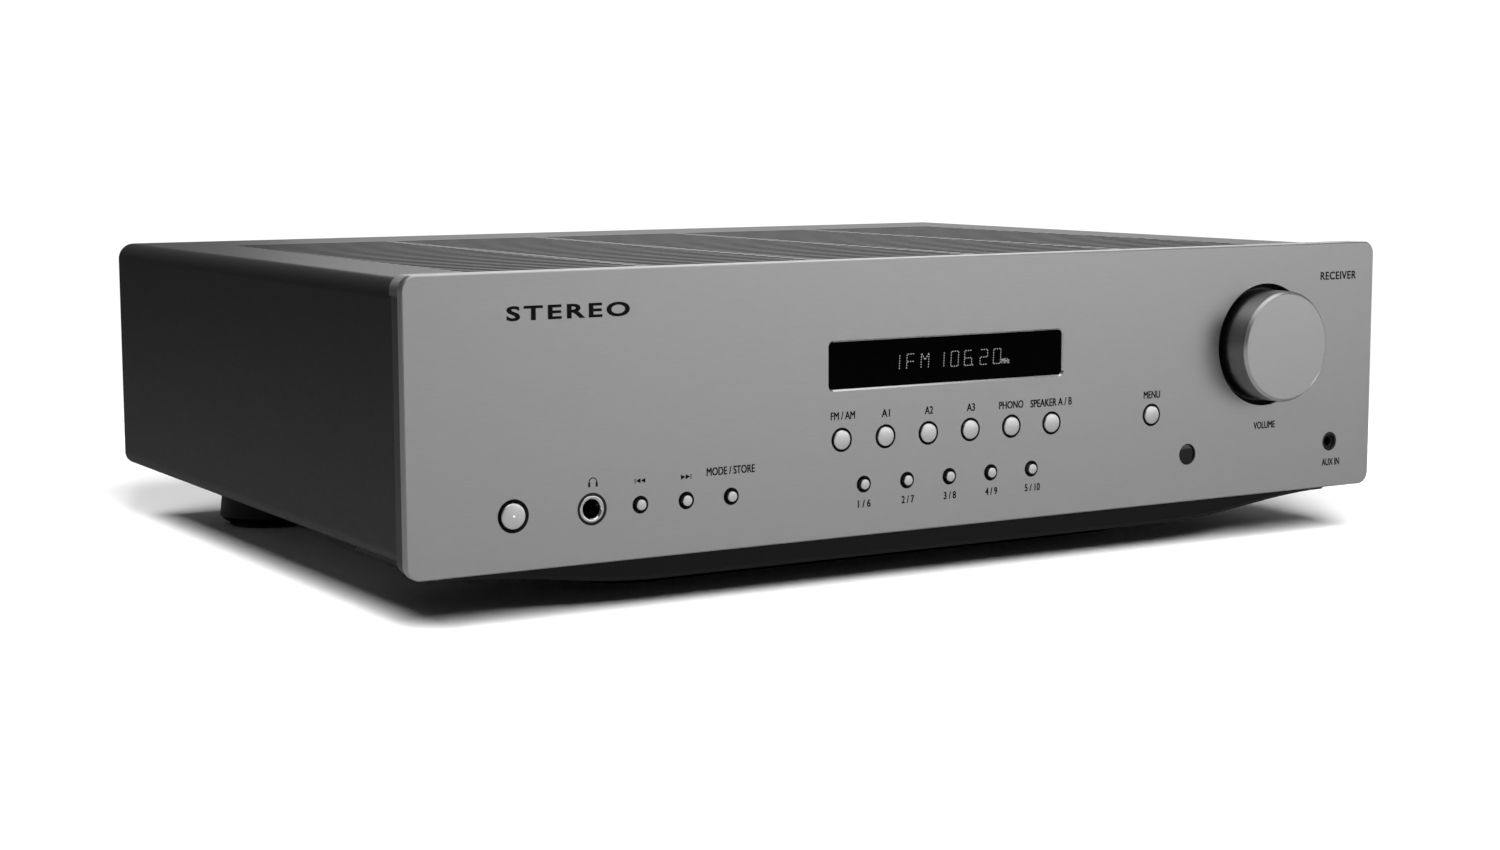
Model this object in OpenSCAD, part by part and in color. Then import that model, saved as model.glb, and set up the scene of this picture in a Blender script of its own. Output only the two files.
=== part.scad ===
// Stereo receiver: steel cover over a sheet chassis, aluminium front plate on a plastic bezel,
// black curved plinth, sixteen push buttons, a volume knob and a full row of rear terminals.
// X runs to the right, Y to the back, Z up. The origin is on the floor under the middle.

/* [Cabinet] */
// Width of the front plate
plate_w = 430; // [424:1:440]
// Height of the front plate
plate_h = 100; // [99:0.5:104]
// Thickness of the front plate
plate_t = 3.5; // [3:0.25:4]
// Corner radius of the front plate
plate_r = 5; // [3:0.5:7]
// Height of the front plate above the floor
stand_h = 20; // [18:0.5:22]
// Depth from the front face of the plate to the back of the cover
case_d = 310; // [305:1:320]
// Depth of the plastic bezel behind the plate
bezel_d = 6.5; // [6:0.5:8]
// Thickness of the cover and chassis sheet steel
sheet = 1.2; // [1:0.1:1.5]
// How far the cover sits inside the outline of the plate
cover_inset = 1.5; // [1:0.25:2]
// Radius of the long top edges of the cover
cover_r = 6.5; // [5:0.5:8]

/* [Vents] */
// Number of vent fields across the cover
vent_fields = 5; // [3:1:6]
// Width of one vent field with its dividing rib
vent_field_w = 72; // [60:1:80]
// Rows of slots from front to back
vent_rows = 26; // [20:1:27]
// Distance from one row to the next
vent_pitch = 9; // [8:0.25:9.5]
// Width of one slot
vent_slot_w = 5; // [4:0.25:5.5]
// Distance from the front plate to the first row
vent_start = 36; // [30:1:45]

/* [Front controls] */
// Height of the lower row of controls above the bottom edge of the plate
low_row = 18.8; // [17:0.1:21]
// Height of the upper row of controls above the bottom edge of the plate
high_row = 35.6; // [33:0.1:38]
// Distance between neighbouring buttons
button_pitch = 19; // [18:0.25:20]
// Travel of the push buttons
button_travel = 0.7; // [0.4:0.1:0.8]
// How far the volume knob stands out of the plate
knob_out = 12.5; // [11:0.5:16]
// Diameter of the volume knob
knob_d = 44; // [40:0.5:46]
// Diameter of the round opening around the knob
knob_hole_d = 49; // [48:0.2:51]
// Width of the display window
window_w = 105; // [95:1:110]
// Height of the display window
window_h = 17.1; // [15:0.1:19]

/* [Rear terminals] */
// How far the terminals stand out behind the cover
terminal_out = 17.5; // [16:0.5:20]
// Distance between neighbouring loudspeaker posts in a row
post_pitch = 24; // [22:0.5:26]
// Distance between neighbouring phono jacks in a row
jack_pitch = 18; // [16:0.5:19]

/* [Hidden] */
$fn = 48;
// Key planes along Y, from front to back
y_front = -(case_d + knob_out + terminal_out) / 2 + knob_out;
y_knob = y_front - knob_out;
y_bezel = y_front + plate_t;
y_cover = y_bezel + bezel_d;
y_back = y_front + case_d;
y_panel = y_back - 2 * sheet;
y_terminals = y_back + terminal_out;
// The bezel's web, and the parts of a push button behind it
web_t = 2;
y_web = y_bezel + web_t;
y_flange = y_web + 0.3;
flange_t = 1;
y_switch = y_flange + flange_t + 3.8;
switch_t = 4.5;
y_board = y_switch + switch_t;
board_t = 1.6;
y_subpanel = y_board + board_t + 1.4;
// Key heights
z_plate = stand_h;
z_top = stand_h + plate_h;
z_cover_low = z_plate + 3.5;
z_cover_top = z_top - cover_inset;
z_floor_pan = z_cover_low + sheet;
z_low_row = z_plate + low_row;
z_high_row = z_plate + high_row;
z_knob = z_plate + 60.3;
z_window = z_plate + 62.3;
z_main_board = z_floor_pan + 10;
z_main_top = z_main_board + board_t;
half_w = plate_w / 2;
cover_half = half_w - cover_inset;
cover_low_r = 5;
pan_half = cover_half - cover_low_r - 2.3;
// Controls: place along X and size
x_power = -176.5;
x_headphone = -147;
x_aux = 192.8;
x_eye = 116.7;
x_knob = 156.4;
x_window = 1.4;
window_r = 1.6;
window_bevel = 0.6;
x_menu = 98;
x_transport = -128.4;
transport_pitch = 18.1;
x_preset = -36.4;
x_source = -46;
small_d = 3.7;
small_hole_d = 6.2;
round_d = 7.1;
round_hole_d = 8.85;
power_d = 8.9;
power_hole_d = 11.5;
eye_d = 8.4;
headphone_d = 11.2;
headphone_bore_d = 6.5;
aux_d = 7.7;
aux_bore_d = 3.6;
// Encoder and its shaft
shaft_d = 6;
shaft_gap = 0.05;
bush_d = 9;
y_encoder = y_web + 0.6;
// Plinth: a curved lip under the plate, swept back to a flat that stands on pads
lip_deep = 9.5;
lip_shallow = 2.6;
lip_flat_x = 116;
lip_end_x = 199;
sole_flat_x = 104;
sole_end_x = 168;
plinth_front = y_front + 8;
plinth_flat = y_front + 50;
plinth_back = y_front + 84;
pad_t = 2;
pad_x = 80;
z_plinth = pad_t;
// Feet
foot_x = 165;
foot_y = y_back - 45;
foot_d = 42;
// Rear terminal places
x_inlet = -180;
z_inlet = z_plate + 45;
y_pivot = y_back + 1;
z_pivot = z_inlet + 22.25;
rocker_tilt = 10;
x_posts = -126;
z_posts = z_plate + 36;
post_rise = 21;
post_d = 6;
post_bore_d = 4.1;
cap_d = 14;
x_jacks = 20;
z_jacks = z_plate + 36;
jack_rise = 18;
jack_cols = 5;
x_antenna = 152;
x_tuner = 128;
z_antenna = z_plate + 62;
y_nut = y_back + 1.3;
x_am = 152;
z_am = z_plate + 32;
lever_tilt = 24;
// Inside parts
coil_x = -140;
coil_y = -48;
coil_d = 104;
coil_h = 46;
board_x0 = -66;
board_x1 = 116;
board_y0 = -108;
board_y1 = 122;
sink_x0 = -46;
sink_x1 = 104;
sink_y0 = 34;
sink_fins = 16;
fin_d = 34;
sink_h = 66;

PRESETS = ["preset_1", "preset_2", "preset_3", "preset_4", "preset_5"];
SOURCES = ["fm_am_button", "a1_button", "a2_button", "a3_button", "phono_button", "speaker_button"];
TRANSPORT = ["previous_button", "next_button", "mode_button"];
POSTS = ["cap_a_left_minus", "cap_a_right_minus", "cap_b_left_minus", "cap_b_right_minus",
         "cap_a_left_plus", "cap_a_right_plus", "cap_b_left_plus", "cap_b_right_plus"];
LEVERS = ["am_lever_left", "am_lever_right"];

// A flat XZ outline becomes a slab from y0 to y1
module slab(y0, y1) {
    translate([0, y1, 0]) rotate([90, 0, 0]) linear_extrude(y1 - y0) children();
}

// A round bar along Y from y0 to y1 at (x, z), with radius r0 at y0 and r1 at y1
module rod(x, z, y0, y1, r0, r1) {
    translate([x, y0, z]) rotate([-90, 0, 0]) cylinder(h = y1 - y0, r1 = r0, r2 = r1);
}

// A box given by its two corners
module box(low, high) {
    translate(low) cube(high - low);
}

// A rectangle with round corners, given by its half width and its two heights
module round_outline(half, low, high, r) {
    translate([-half + r, low]) square([2 * (half - r), high - low]);
    translate([-half, low + r]) square([2 * half, high - low - 2 * r]);
    for (x = [-half + r, half - r], z = [low + r, high - r]) translate([x, z]) circle(r);
}

// Every button: [x, z, cap diameter, hole diameter]
function preset_at(i) = [x_preset + i * button_pitch, z_low_row, small_d, small_hole_d];
function source_at(i) = [x_source + i * button_pitch, z_high_row, round_d, round_hole_d];
function transport_at(i) = [x_transport + i * transport_pitch, z_low_row, small_d, small_hole_d];
power_at = [x_power, z_low_row, power_d, power_hole_d];
menu_at = [x_menu, z_high_row, round_d, round_hole_d];
BUTTONS = concat([power_at, menu_at], [for (i = [0:4]) preset_at(i)],
                 [for (i = [0:5]) source_at(i)], [for (i = [0:2]) transport_at(i)]);

// Plate with a fine bevel round its front edge and a bevelled mouth at each control
module face_plate() {
    edge = 0.4;
    color("silver") difference() {
        slab(y_front, y_bezel) round_outline(half_w, z_plate, z_top, plate_r);
        for (side = [0, 1]) mirror([side, 0, 0]) {
            slope_cut(half_w, edge);
            for (up = [0, 1]) translate([0, 0, up * (z_plate + z_top)]) mirror([0, 0, up])
                corner_cut(edge);
        }
        for (up = [0, 1]) translate([0, 0, up * (z_plate + z_top)]) mirror([0, 0, up])
            long_cut(edge);
        for (b = BUTTONS) button_mouth(b);
        rod(x_headphone, z_low_row, y_front - 1, y_bezel + 1, headphone_d / 2, headphone_d / 2);
        rod(x_aux, z_low_row, y_front - 1, y_bezel + 1, aux_d / 2, aux_d / 2);
        rod(x_eye, z_low_row, y_front - 1, y_bezel + 1, eye_d / 2, eye_d / 2);
        rod(x_knob, z_knob, y_front - 1, y_bezel + 1, knob_hole_d / 2, knob_hole_d / 2);
        window_mouth();
    }
}

// Wedges that take the plate's front edge off along a side, along the bottom and at a corner
module slope_cut(half, edge) {
    translate([0, 0, z_plate + plate_r]) linear_extrude(plate_h - 2 * plate_r)
        polygon([[half - edge, y_front - 0.1], [half + 1, y_front - 0.1], [half + 1, y_front + edge],
                 [half, y_front + edge], [half - edge, y_front]]);
}
module long_cut(edge) {
    translate([-half_w + plate_r, 0, 0]) rotate([90, 0, 90]) linear_extrude(plate_w - 2 * plate_r)
        polygon([[y_front - 0.1, z_plate + edge], [y_front, z_plate + edge],
                 [y_front + edge, z_plate], [y_front + edge, z_plate - 1], [y_front - 0.1, z_plate - 1]]);
}
module corner_cut(edge) {
    intersection() {
        translate([half_w - plate_r, y_front, z_plate + plate_r]) rotate([-90, 0, 0])
            rotate_extrude() polygon([[plate_r - edge, -0.1], [plate_r + 2, -0.1],
                                      [plate_r + 2, edge], [plate_r, edge], [plate_r - edge, 0]]);
        box([half_w - plate_r, y_front - 1, z_plate - 3],
            [half_w + 3, y_front + 2, z_plate + plate_r]);
    }
}

// The bevelled hole of one button
module button_mouth(b) {
    mouth = 1.4;
    inner = b[2] / 2 + 0.3;
    rod(b[0], b[1], y_front, y_front + mouth, b[3] / 2, inner);
    rod(b[0], b[1], y_front - 1, y_bezel + 1, inner, inner);
}

// The display opening: round corners and an even bevel all round
module window_mouth() {
    left = x_window - window_w / 2;
    right = x_window + window_w / 2;
    low = z_window - window_h / 2;
    high = z_window + window_h / 2;
    box([left + window_r, y_front - 1, low], [right - window_r, y_bezel + 1, high]);
    box([left, y_front - 1, low + window_r], [right, y_bezel + 1, high - window_r]);
    for (x = [left + window_r, right - window_r], z = [low + window_r, high - window_r]) {
        rod(x, z, y_front - 1, y_bezel + 1, window_r, window_r);
        rod(x, z, y_front, y_front + window_bevel, window_r + window_bevel, window_r);
    }
    translate([left + window_r, 0, 0]) rotate([90, 0, 90]) linear_extrude(window_w - 2 * window_r)
        polygon([[y_front, low - window_bevel], [y_front + window_bevel, low],
                 [y_front + window_bevel, high], [y_front, high + window_bevel]]);
    translate([0, 0, low + window_r]) linear_extrude(window_h - 2 * window_r)
        polygon([[left - window_bevel, y_front], [right + window_bevel, y_front],
                 [right, y_front + window_bevel], [left, y_front + window_bevel]]);
}

// Moulded frame behind the plate: a deep rim, a web with holes and a raised cap along the top
module front_bezel() {
    inset = 0.7;
    rim = 3;
    cap_h = 6.8;
    color("dimgray") difference() {
        union() {
            slab(y_bezel, y_web) round_outline(half_w - inset, z_plate + inset, z_top - 1, plate_r);
            difference() {
                slab(y_web, y_cover)
                    round_outline(half_w - inset, z_plate + inset, z_top - 1, plate_r);
                slab(y_web, y_cover + 1) round_outline(half_w - inset - rim,
                    z_plate + inset + rim, z_top - 1 - rim, plate_r - 2);
            }
            difference() {
                slab(y_bezel, y_cover) round_outline(half_w, z_plate, z_top, plate_r);
                slab(y_bezel - 1, y_cover + 1) round_outline(half_w - inset - 1,
                    z_plate + 1, z_top - 2, plate_r - 1);
                box([-half_w - 1, y_bezel - 1, z_plate - 1],
                    [half_w + 1, y_cover + 1, z_top - cap_h]);
            }
        }
        for (b = BUTTONS)
            rod(b[0], b[1], y_bezel - 1, y_web + 1, b[2] / 2 + 0.3, b[2] / 2 + 0.3);
        rod(x_headphone, z_low_row, y_bezel - 1, y_web + 1, headphone_d / 2, headphone_d / 2);
        rod(x_aux, z_low_row, y_bezel - 1, y_web + 1, aux_d / 2, aux_d / 2);
        rod(x_eye, z_low_row, y_bezel - 1, y_web + 1, eye_d / 2 - 1, eye_d / 2 - 1);
        rod(x_knob, z_knob, y_bezel - 1, y_web + 1, bush_d / 2 + 0.3, bush_d / 2 + 0.3);
        box([x_window - window_w / 2, y_bezel - 1, z_window - window_h / 2],
            [x_window + window_w / 2, y_web + 1, z_window + window_h / 2]);
    }
}

// Smoked window, set back from the face, with a flange behind the web
module display_window() {
    set_back = 1.2;
    gap = 0.1;
    color("darkslategray") {
        translate([x_window, 0, 0]) slab(y_front + set_back, y_web)
            round_outline(window_w / 2 - gap, z_window - window_h / 2 + gap,
                z_window + window_h / 2 - gap, window_r);
        box([x_window - window_w / 2 - 3, y_web, z_window - window_h / 2 - 3],
            [x_window + window_w / 2 + 3, y_web + 1.5, z_window + window_h / 2 + 3]);
    }
}

// Fluorescent display tube on its carrier behind the window
module display_module() {
    y_glass = y_web + 2.2;
    color("teal") {
        box([x_window - window_w / 2 - 1, y_glass, z_window - 11],
            [x_window + window_w / 2 + 1, y_glass + 5, z_window + 11]);
        box([x_window - window_w / 2 - 4, y_glass + 5, z_window - 12.5],
            [x_window + window_w / 2 + 4, y_board, z_window + 12.5]);
    }
}

module ir_window() {
    color("black") {
        rod(x_eye, z_low_row, y_front + 0.5, y_bezel, eye_d / 2 - 0.05, eye_d / 2 - 0.05);
        rod(x_eye, z_low_row, y_bezel, y_board, eye_d / 2 - 1.1, eye_d / 2 - 1.1);
    }
}

// Headphone jack: threaded nose in the plate, square body behind the web
module headphone_jack() {
    depth = 32;
    color("gray") difference() {
        union() {
            rod(x_headphone, z_low_row, y_front, y_web + 2, headphone_d / 2 - 0.05,
                headphone_d / 2 - 0.05);
            box([x_headphone - 8, y_web + 2, z_low_row - 7.5],
                [x_headphone + 8, y_front + depth + 3, z_low_row + 7.5]);
        }
        rod(x_headphone, z_low_row, y_front - 1, y_front + depth, headphone_bore_d / 2,
            headphone_bore_d / 2);
    }
}

module aux_jack() {
    depth = 15;
    color("black") difference() {
        union() {
            rod(x_aux, z_low_row, y_front + 0.1, y_web + 1.5, aux_d / 2 - 0.05, aux_d / 2 - 0.05);
            box([x_aux - 4.5, y_web + 1.5, z_low_row - 5],
                [x_aux + 4.5, y_front + depth + 2, z_low_row + 5]);
        }
        rod(x_aux, z_low_row, y_front - 1, y_front + depth, aux_bore_d / 2, aux_bore_d / 2);
    }
}

// One tall circuit board behind all the front controls, cut out at the headphone and aux jacks
module control_board() {
    color("darkgreen") difference() {
        box([-198, y_board, z_low_row - 11], [203, y_board + board_t, z_window + 20]);
        box([x_headphone - 8.5, y_board - 1, z_low_row - 12],
            [x_headphone + 8.5, y_board + 3, z_low_row + 8]);
        box([x_aux - 5, y_board - 1, z_low_row - 12], [x_aux + 5, y_board + 3, z_low_row + 5.5]);
    }
}

// A tactile switch behind each button
module tact_switches() {
    body = 6;
    color("gray") for (b = BUTTONS) {
        box([b[0] - body / 2, y_switch + 1, b[1] - body / 2], [b[0] + body / 2, y_board, b[1] + body / 2]);
        rod(b[0], b[1], y_switch, y_switch + 1, 1.75, 1.75);
    }
}

// Rotary encoder: square can with a threaded bush that carries the shaft
module volume_encoder() {
    color("lightgray") difference() {
        union() {
            rod(x_knob, z_knob, y_bezel + 0.3, y_encoder + 3, bush_d / 2, bush_d / 2);
            box([x_knob - 7, y_encoder + 3, z_knob - 7], [x_knob + 7, y_board, z_knob + 7]);
        }
        rod(x_knob, z_knob, y_bezel - 1, y_board - 1, shaft_d / 2 + shaft_gap,
            shaft_d / 2 + shaft_gap);
    }
}

module encoder_shaft() {
    color("gainsboro") rod(x_knob, z_knob, y_knob + 4, y_board - 1.3, shaft_d / 2, shaft_d / 2);
}

// Turned knob: hollow cup with a hub for the shaft and a bevelled front rim
module volume_knob() {
    r = knob_d / 2;
    wall = 2.2;
    face_t = 3.5;
    bevel = 1.1;
    back = knob_out + plate_t - 0.6;
    hub = 7;
    color("silver") translate([x_knob, y_knob, z_knob]) rotate([-90, 0, 0]) rotate_extrude()
        polygon([[0, 0], [r - bevel, 0], [r, bevel], [r, back], [r - wall, back],
                 [r - wall, face_t], [hub, face_t], [hub, back - 1.2], [shaft_d / 2, back - 1.2],
                 [shaft_d / 2, 4], [0, 4]]);
}

// A push button: cap with a bevelled crown, retaining flange and a stem to its switch
module button(b, proud) {
    r = b[2] / 2;
    crown = 0.5;
    y_stem = y_switch - button_travel - 0.2;
    color("lightgray") translate([b[0], 0, b[1]]) rotate([-90, 0, 0]) rotate_extrude()
        polygon([[0, y_front - proud], [r - crown, y_front - proud],
                 [r, y_front - proud + crown * 0.7], [r, y_flange], [r + 1.3, y_flange],
                 [r + 1.3, y_flange + flange_t], [1.5, y_flange + flange_t],
                 [1.5, y_stem], [0, y_stem]]);
}

// One vent slot with round ends, its corners drawn as short straight runs
function slot_points(x0, x1, y, r) = concat(
    [for (a = [-90:45:90]) [x1 - r + r * cos(a), y + r * sin(a)]],
    [for (a = [90:45:270]) [x0 + r + r * cos(a), y + r * sin(a)]]);

// Folded sheet cover: round top edges, turned-in lower edges, a rear lip and five vent fields
module top_cover() {
    rib = 4.5;
    lip = 9;
    vents_w = vent_fields * vent_field_w;
    color("black") difference() {
        union() {
            slab(y_cover, y_back) difference() {
                cover_outline(0);
                cover_outline(sheet);
                translate([-pan_half - 0.3, z_cover_low - 1]) square([2 * pan_half + 0.6, 8]);
            }
            slab(y_back - sheet, y_back) difference() {
                cover_outline(sheet);
                translate([-cover_half + lip, z_cover_low - 1])
                    square([2 * (cover_half - lip), z_cover_top - z_cover_low + 1 - lip]);
                translate([-cover_half - 1, z_cover_low - 1]) square([plate_w, 10]);
            }
        }
        translate([0, 0, z_cover_top - sheet - 1]) linear_extrude(sheet + 2)
            for (f = [0:vent_fields - 1], i = [0:vent_rows - 1])
                polygon(slot_points(-vents_w / 2 + f * vent_field_w + rib / 2,
                    -vents_w / 2 + (f + 1) * vent_field_w - rib / 2,
                    y_front + vent_start + i * vent_pitch, vent_slot_w / 2));
        for (s = case_screw_places()) rod(s[0], s[1], y_back - 3, y_back + 1, 1.6, 1.6);
    }
}

// Outline of the cover, or of its inside when t is the sheet's thickness
module cover_outline(t) {
    half = cover_half - t;
    low = z_cover_low + t;
    high = z_cover_top - t;
    top_r = cover_r - t;
    low_r = cover_low_r - t;
    translate([-half, low + low_r]) square([2 * half, high - low - low_r - top_r]);
    translate([-half + top_r, high - top_r - 1]) square([2 * (half - top_r), top_r + 1]);
    translate([-half + low_r, low]) square([2 * (half - low_r), low_r + 1]);
    for (x = [-1, 1]) {
        translate([x * (half - top_r), high - top_r]) circle(top_r);
        translate([x * (half - low_r), low + low_r]) circle(low_r);
    }
}

function case_screw_places() = [for (x = [-170, 0, 170]) [x, z_cover_top - 5.4],
    for (x = [-1, 1], z = [45, 92]) [x * (cover_half - 5.4), z]];

// Folded steel tray: floor with vents, low sides, and a front panel that carries the controls
module chassis_tray() {
    side_h = 24;
    color("lightsteelblue") difference() {
        union() {
            box([-pan_half, y_cover + 0.3, z_cover_low], [pan_half, y_back - sheet, z_floor_pan]);
            for (x = [-pan_half, pan_half - sheet])
                box([x, y_subpanel, z_floor_pan], [x + sheet, y_panel, z_floor_pan + side_h]);
            box([-pan_half, y_subpanel, z_floor_pan],
                [pan_half, y_subpanel + sheet, z_window + 24]);
            for (x = [board_x0 + 8, board_x1 - 8], y = [board_y0 + 8, board_y1 - 8])
                translate([x, y, z_floor_pan]) cylinder(h = z_main_board - z_floor_pan, r = 3.5);
        }
        for (i = [0:11]) box([sink_x0 + i * 12, sink_y0, z_cover_low - 1],
            [sink_x0 + i * 12 + 4, sink_y0 + 60, z_floor_pan + 1]);
        box([20, y_subpanel - 1, z_window - 28], [60, y_subpanel + 3, z_window - 18]);
        for (x = [x_headphone, x_aux]) box([x - 9.5, y_subpanel - 1, z_low_row - 9],
            [x + 9.5, y_subpanel + 3, z_low_row + 9]);
    }
}

// Steel rear panel with a cut-out for each terminal
module rear_panel() {
    color("dimgray") difference() {
        slab(y_panel, y_back - sheet)
            round_outline(cover_half - sheet - 0.2, z_floor_pan, z_cover_top - sheet - 0.2, 4);
        for (i = [0:7]) rod(post_x(i), post_z(i), y_panel - 1, y_back, 4.5, 4.5);
        for (c = [0:jack_cols - 1], r = [0, 1])
            rod(x_jacks + c * jack_pitch, z_jacks + r * jack_rise, y_panel - 1, y_back, 5.2, 5.2);
        rod(x_antenna, z_antenna, y_panel - 1, y_back, 5, 5);
        box([x_am - 13, y_panel - 1, z_am - 7], [x_am + 13, y_back, z_am + 7]);
        box([x_inlet - 14, y_panel - 1, z_inlet - 11], [x_inlet + 14, y_back, z_inlet + 33]);
        for (s = case_screw_places()) rod(s[0], s[1], y_panel - 1, y_back, 1.3, 1.3);
    }
}

// Plinth section at a place along X: the lip's depth follows a smooth cosine to each end
function lip_at(x) = abs(x) < lip_flat_x ? lip_deep
    : lip_shallow + (lip_deep - lip_shallow)
        * (1 + cos(180 * min(1, (abs(x) - lip_flat_x) / (lip_end_x - lip_flat_x)))) / 2;
function rise_at(x) =
    (1 - cos(180 * max(0, min(1, (abs(x) - sole_flat_x) / (sole_end_x - sole_flat_x))))) / 2;
function plinth_section(x) = let (low = z_plate - lip_at(x), drop = (low - z_plinth) * (1 - rise_at(x))) [
    [x, plinth_front, z_plate], [x, plinth_front + 0.6, low + 1.6], [x, plinth_front + 2, low],
    [x, plinth_front + 7, low - drop * 0.1], [x, plinth_front + 24, low - drop * 0.5],
    [x, plinth_flat - 6, low - drop * 0.94], [x, plinth_flat, low - drop],
    [x, plinth_back, low - drop], [x, plinth_back, z_cover_low],
    [x, y_cover + 0.3, z_cover_low], [x, y_cover + 0.3, z_plate]];

// Black moulded plinth: a winged lip under the plate, whose middle sweeps down and back to the pads
module base_plinth() {
    steps = 16;
    pocket_w = 70;
    xs = concat([for (i = [0:steps]) -lip_end_x + i * (lip_end_x - sole_flat_x) / steps],
                [for (i = [0:steps]) sole_flat_x + i * (lip_end_x - sole_flat_x) / steps]);
    n = len(plinth_section(0));
    sides = [for (s = [0:len(xs) - 2], k = [0:n - 1])
        [s * n + k, (s + 1) * n + k, (s + 1) * n + (k + 1) % n, s * n + (k + 1) % n]];
    last = (len(xs) - 1) * n;
    color("black") difference() {
        polyhedron(points = [for (x = xs) for (p = plinth_section(x)) p],
            faces = concat([[for (k = [0:n - 1]) k]], sides, [[for (k = [n - 1:-1:0]) last + k]]));
        for (x = [-1.5, -0.5, 0.5] * (pocket_w + 5))
            box([x, plinth_flat - 4, z_plinth + 2.5], [x + pocket_w, plinth_back - 2.5, z_cover_low + 1]);
    }
}

// Felt pads under the plinth and rubber pads under the two rear feet
module foot_pads() {
    color("black") {
        for (x = [-pad_x, pad_x])
            box([x - 22, plinth_flat + 6, 0], [x + 22, plinth_back - 6, pad_t]);
        for (x = [-foot_x, foot_x]) translate([x, foot_y, 0]) cylinder(h = pad_t, d = foot_d - 8);
    }
}

// Turned rear feet with a bevelled lower edge
module rear_feet() {
    r = foot_d / 2;
    color("black") for (x = [-foot_x, foot_x]) translate([x, foot_y, pad_t]) rotate_extrude()
        polygon([[0, 0], [r - 2, 0], [r, 2], [r - 2, z_cover_low - pad_t], [0, z_cover_low - pad_t]]);
}

// Extruded heat sink: a back plate with a comb of fins
module heatsink() {
    plate = 6;
    fin = 2.2;
    span = sink_x1 - sink_x0 - fin;
    color("lightslategray") {
        box([sink_x0, sink_y0, z_main_top], [sink_x1, sink_y0 + plate, z_main_top + sink_h]);
        for (i = [0:sink_fins - 1]) translate([i * span / (sink_fins - 1), 0, 0])
            box([sink_x0, sink_y0 + plate, z_main_top],
                [sink_x0 + fin, sink_y0 + plate + fin_d, z_main_top + sink_h]);
    }
}

// Four power transistors on the face of the heat sink, each with its legs down to the board
module output_transistors() {
    color("black") for (i = [0:3]) translate([sink_x0 + 24 + i * 34, sink_y0, z_main_top]) {
        box([-8, -5, 22], [8, 0, 42]);
        for (leg = [-5.4, 0, 5.4]) box([leg - 0.6, -3, 0], [leg + 0.6, -2.2, 22]);
    }
}

// Toroidal mains transformer held by a dished plate and one bolt
module transformer() {
    r = coil_d / 2;
    hole = 18;
    round_over = 12;
    color("darkgoldenrod") translate([coil_x, coil_y, z_floor_pan]) rotate_extrude()
        polygon([[hole, 3], [r - round_over, 3], [r - 3.5, 6.5], [r, 3 + round_over],
                 [r, coil_h - round_over], [r - 3.5, coil_h - 3.5], [r - round_over, coil_h],
                 [hole, coil_h]]);
    color("black") translate([coil_x, coil_y, z_floor_pan]) cylinder(h = 3, r = r - 10);
    color("silver") translate([coil_x, coil_y, z_floor_pan]) rotate_extrude()
        polygon([[0, 3], [4, 3], [4, coil_h], [24, coil_h], [24, coil_h + 2], [7, coil_h + 2],
                 [7, coil_h + 6], [0, coil_h + 6]]);
}

module main_board() {
    color("darkgreen") box([board_x0, board_y0, z_main_board], [board_x1, board_y1, z_main_top]);
}

module filter_capacitors() {
    color("midnightblue") for (x = [-40, -4, 34], y = [-40]) translate([x, y, z_main_top])
        cylinder(h = 50, r = 15.5);
}

module speaker_relays() {
    color("gainsboro") for (x = [-52, -22, 8]) box([x - 9, 88, z_main_top], [x + 9, 116, z_main_top + 16]);
}

// Shielded tuner can with the threaded aerial socket that passes through the rear panel
module tuner_module() {
    color("silver") difference() {
        union() {
            box([x_tuner, y_panel - 62, z_antenna - 16], [x_tuner + 56, y_panel, z_antenna + 12]);
            rod(x_antenna, z_antenna, y_panel, y_back, 4.4, 4.4);
            rod(x_antenna, z_antenna, y_back - sheet, y_nut, 6.5, 6.5);
            rod(x_antenna, z_antenna, y_nut, y_back + 10, 4.7, 4.7);
        }
        rod(x_antenna, z_antenna, y_back, y_back + 11, 0.6, 0.6);
    }
}

// Upright board that carries the phono jacks
module input_board() {
    color("darkgreen") box([x_jacks - 14, y_panel - 13.6, z_jacks - 16],
        [x_jacks + jack_pitch * (jack_cols - 1) + 14, y_panel - 12, z_jacks + jack_rise + 16]);
}

// Phono jacks: a body behind the panel, and a metal sleeve round an insulator outside it
module rca_jacks() {
    for (c = [0:jack_cols - 1], r = [0, 1])
        color(r == 1 ? "white" : "red") difference() {
            x = x_jacks + c * jack_pitch;
            z = z_jacks + r * jack_rise;
            union() {
                box([x - 7, y_panel - 12, z - 7], [x + 7, y_panel, z + 7]);
                rod(x, z, y_panel, y_back + 9, 4.15, 4.15);
            }
            rod(x, z, y_back - 1, y_back + 10, 1.6, 1.6);
        }
}

// Spring-lever block for the AM loop aerial
module am_terminal() {
    color("black") difference() {
        box([x_am - 12.5, y_panel - 10, z_am - 6.5], [x_am + 12.5, y_back + 5, z_am + 6.5]);
        for (x = [-6, 6]) {
            box([x_am + x - 4.3, y_back - 3, z_am - 1.2], [x_am + x + 4.3, y_back + 6, z_am + 7]);
            rod(x_am + x, z_am - 4, y_back - 1, y_back + 6, 1.3, 1.3);
        }
    }
    color("silver") for (x = [-6, 6]) translate([x_am + x, y_back - 0.4, z_am + 1.6]) rotate([0, 90, 0])
        cylinder(h = 8.6, r = 0.7, center = true);
}

// Lever of one spring terminal on its pin, tilted up at rest and pressed down to open the clamp
module am_lever(i) {
    color("ivory") translate([x_am - 6 + 12 * i, y_back - 0.4, z_am + 1.6]) rotate([lever_tilt, 0, 0])
        difference() {
            box([-3.9, -1.6, -1.8], [3.9, 9.4, 1.8]);
            rotate([0, 90, 0]) cylinder(h = 10, r = 0.75, center = true);
        }
}

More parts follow.
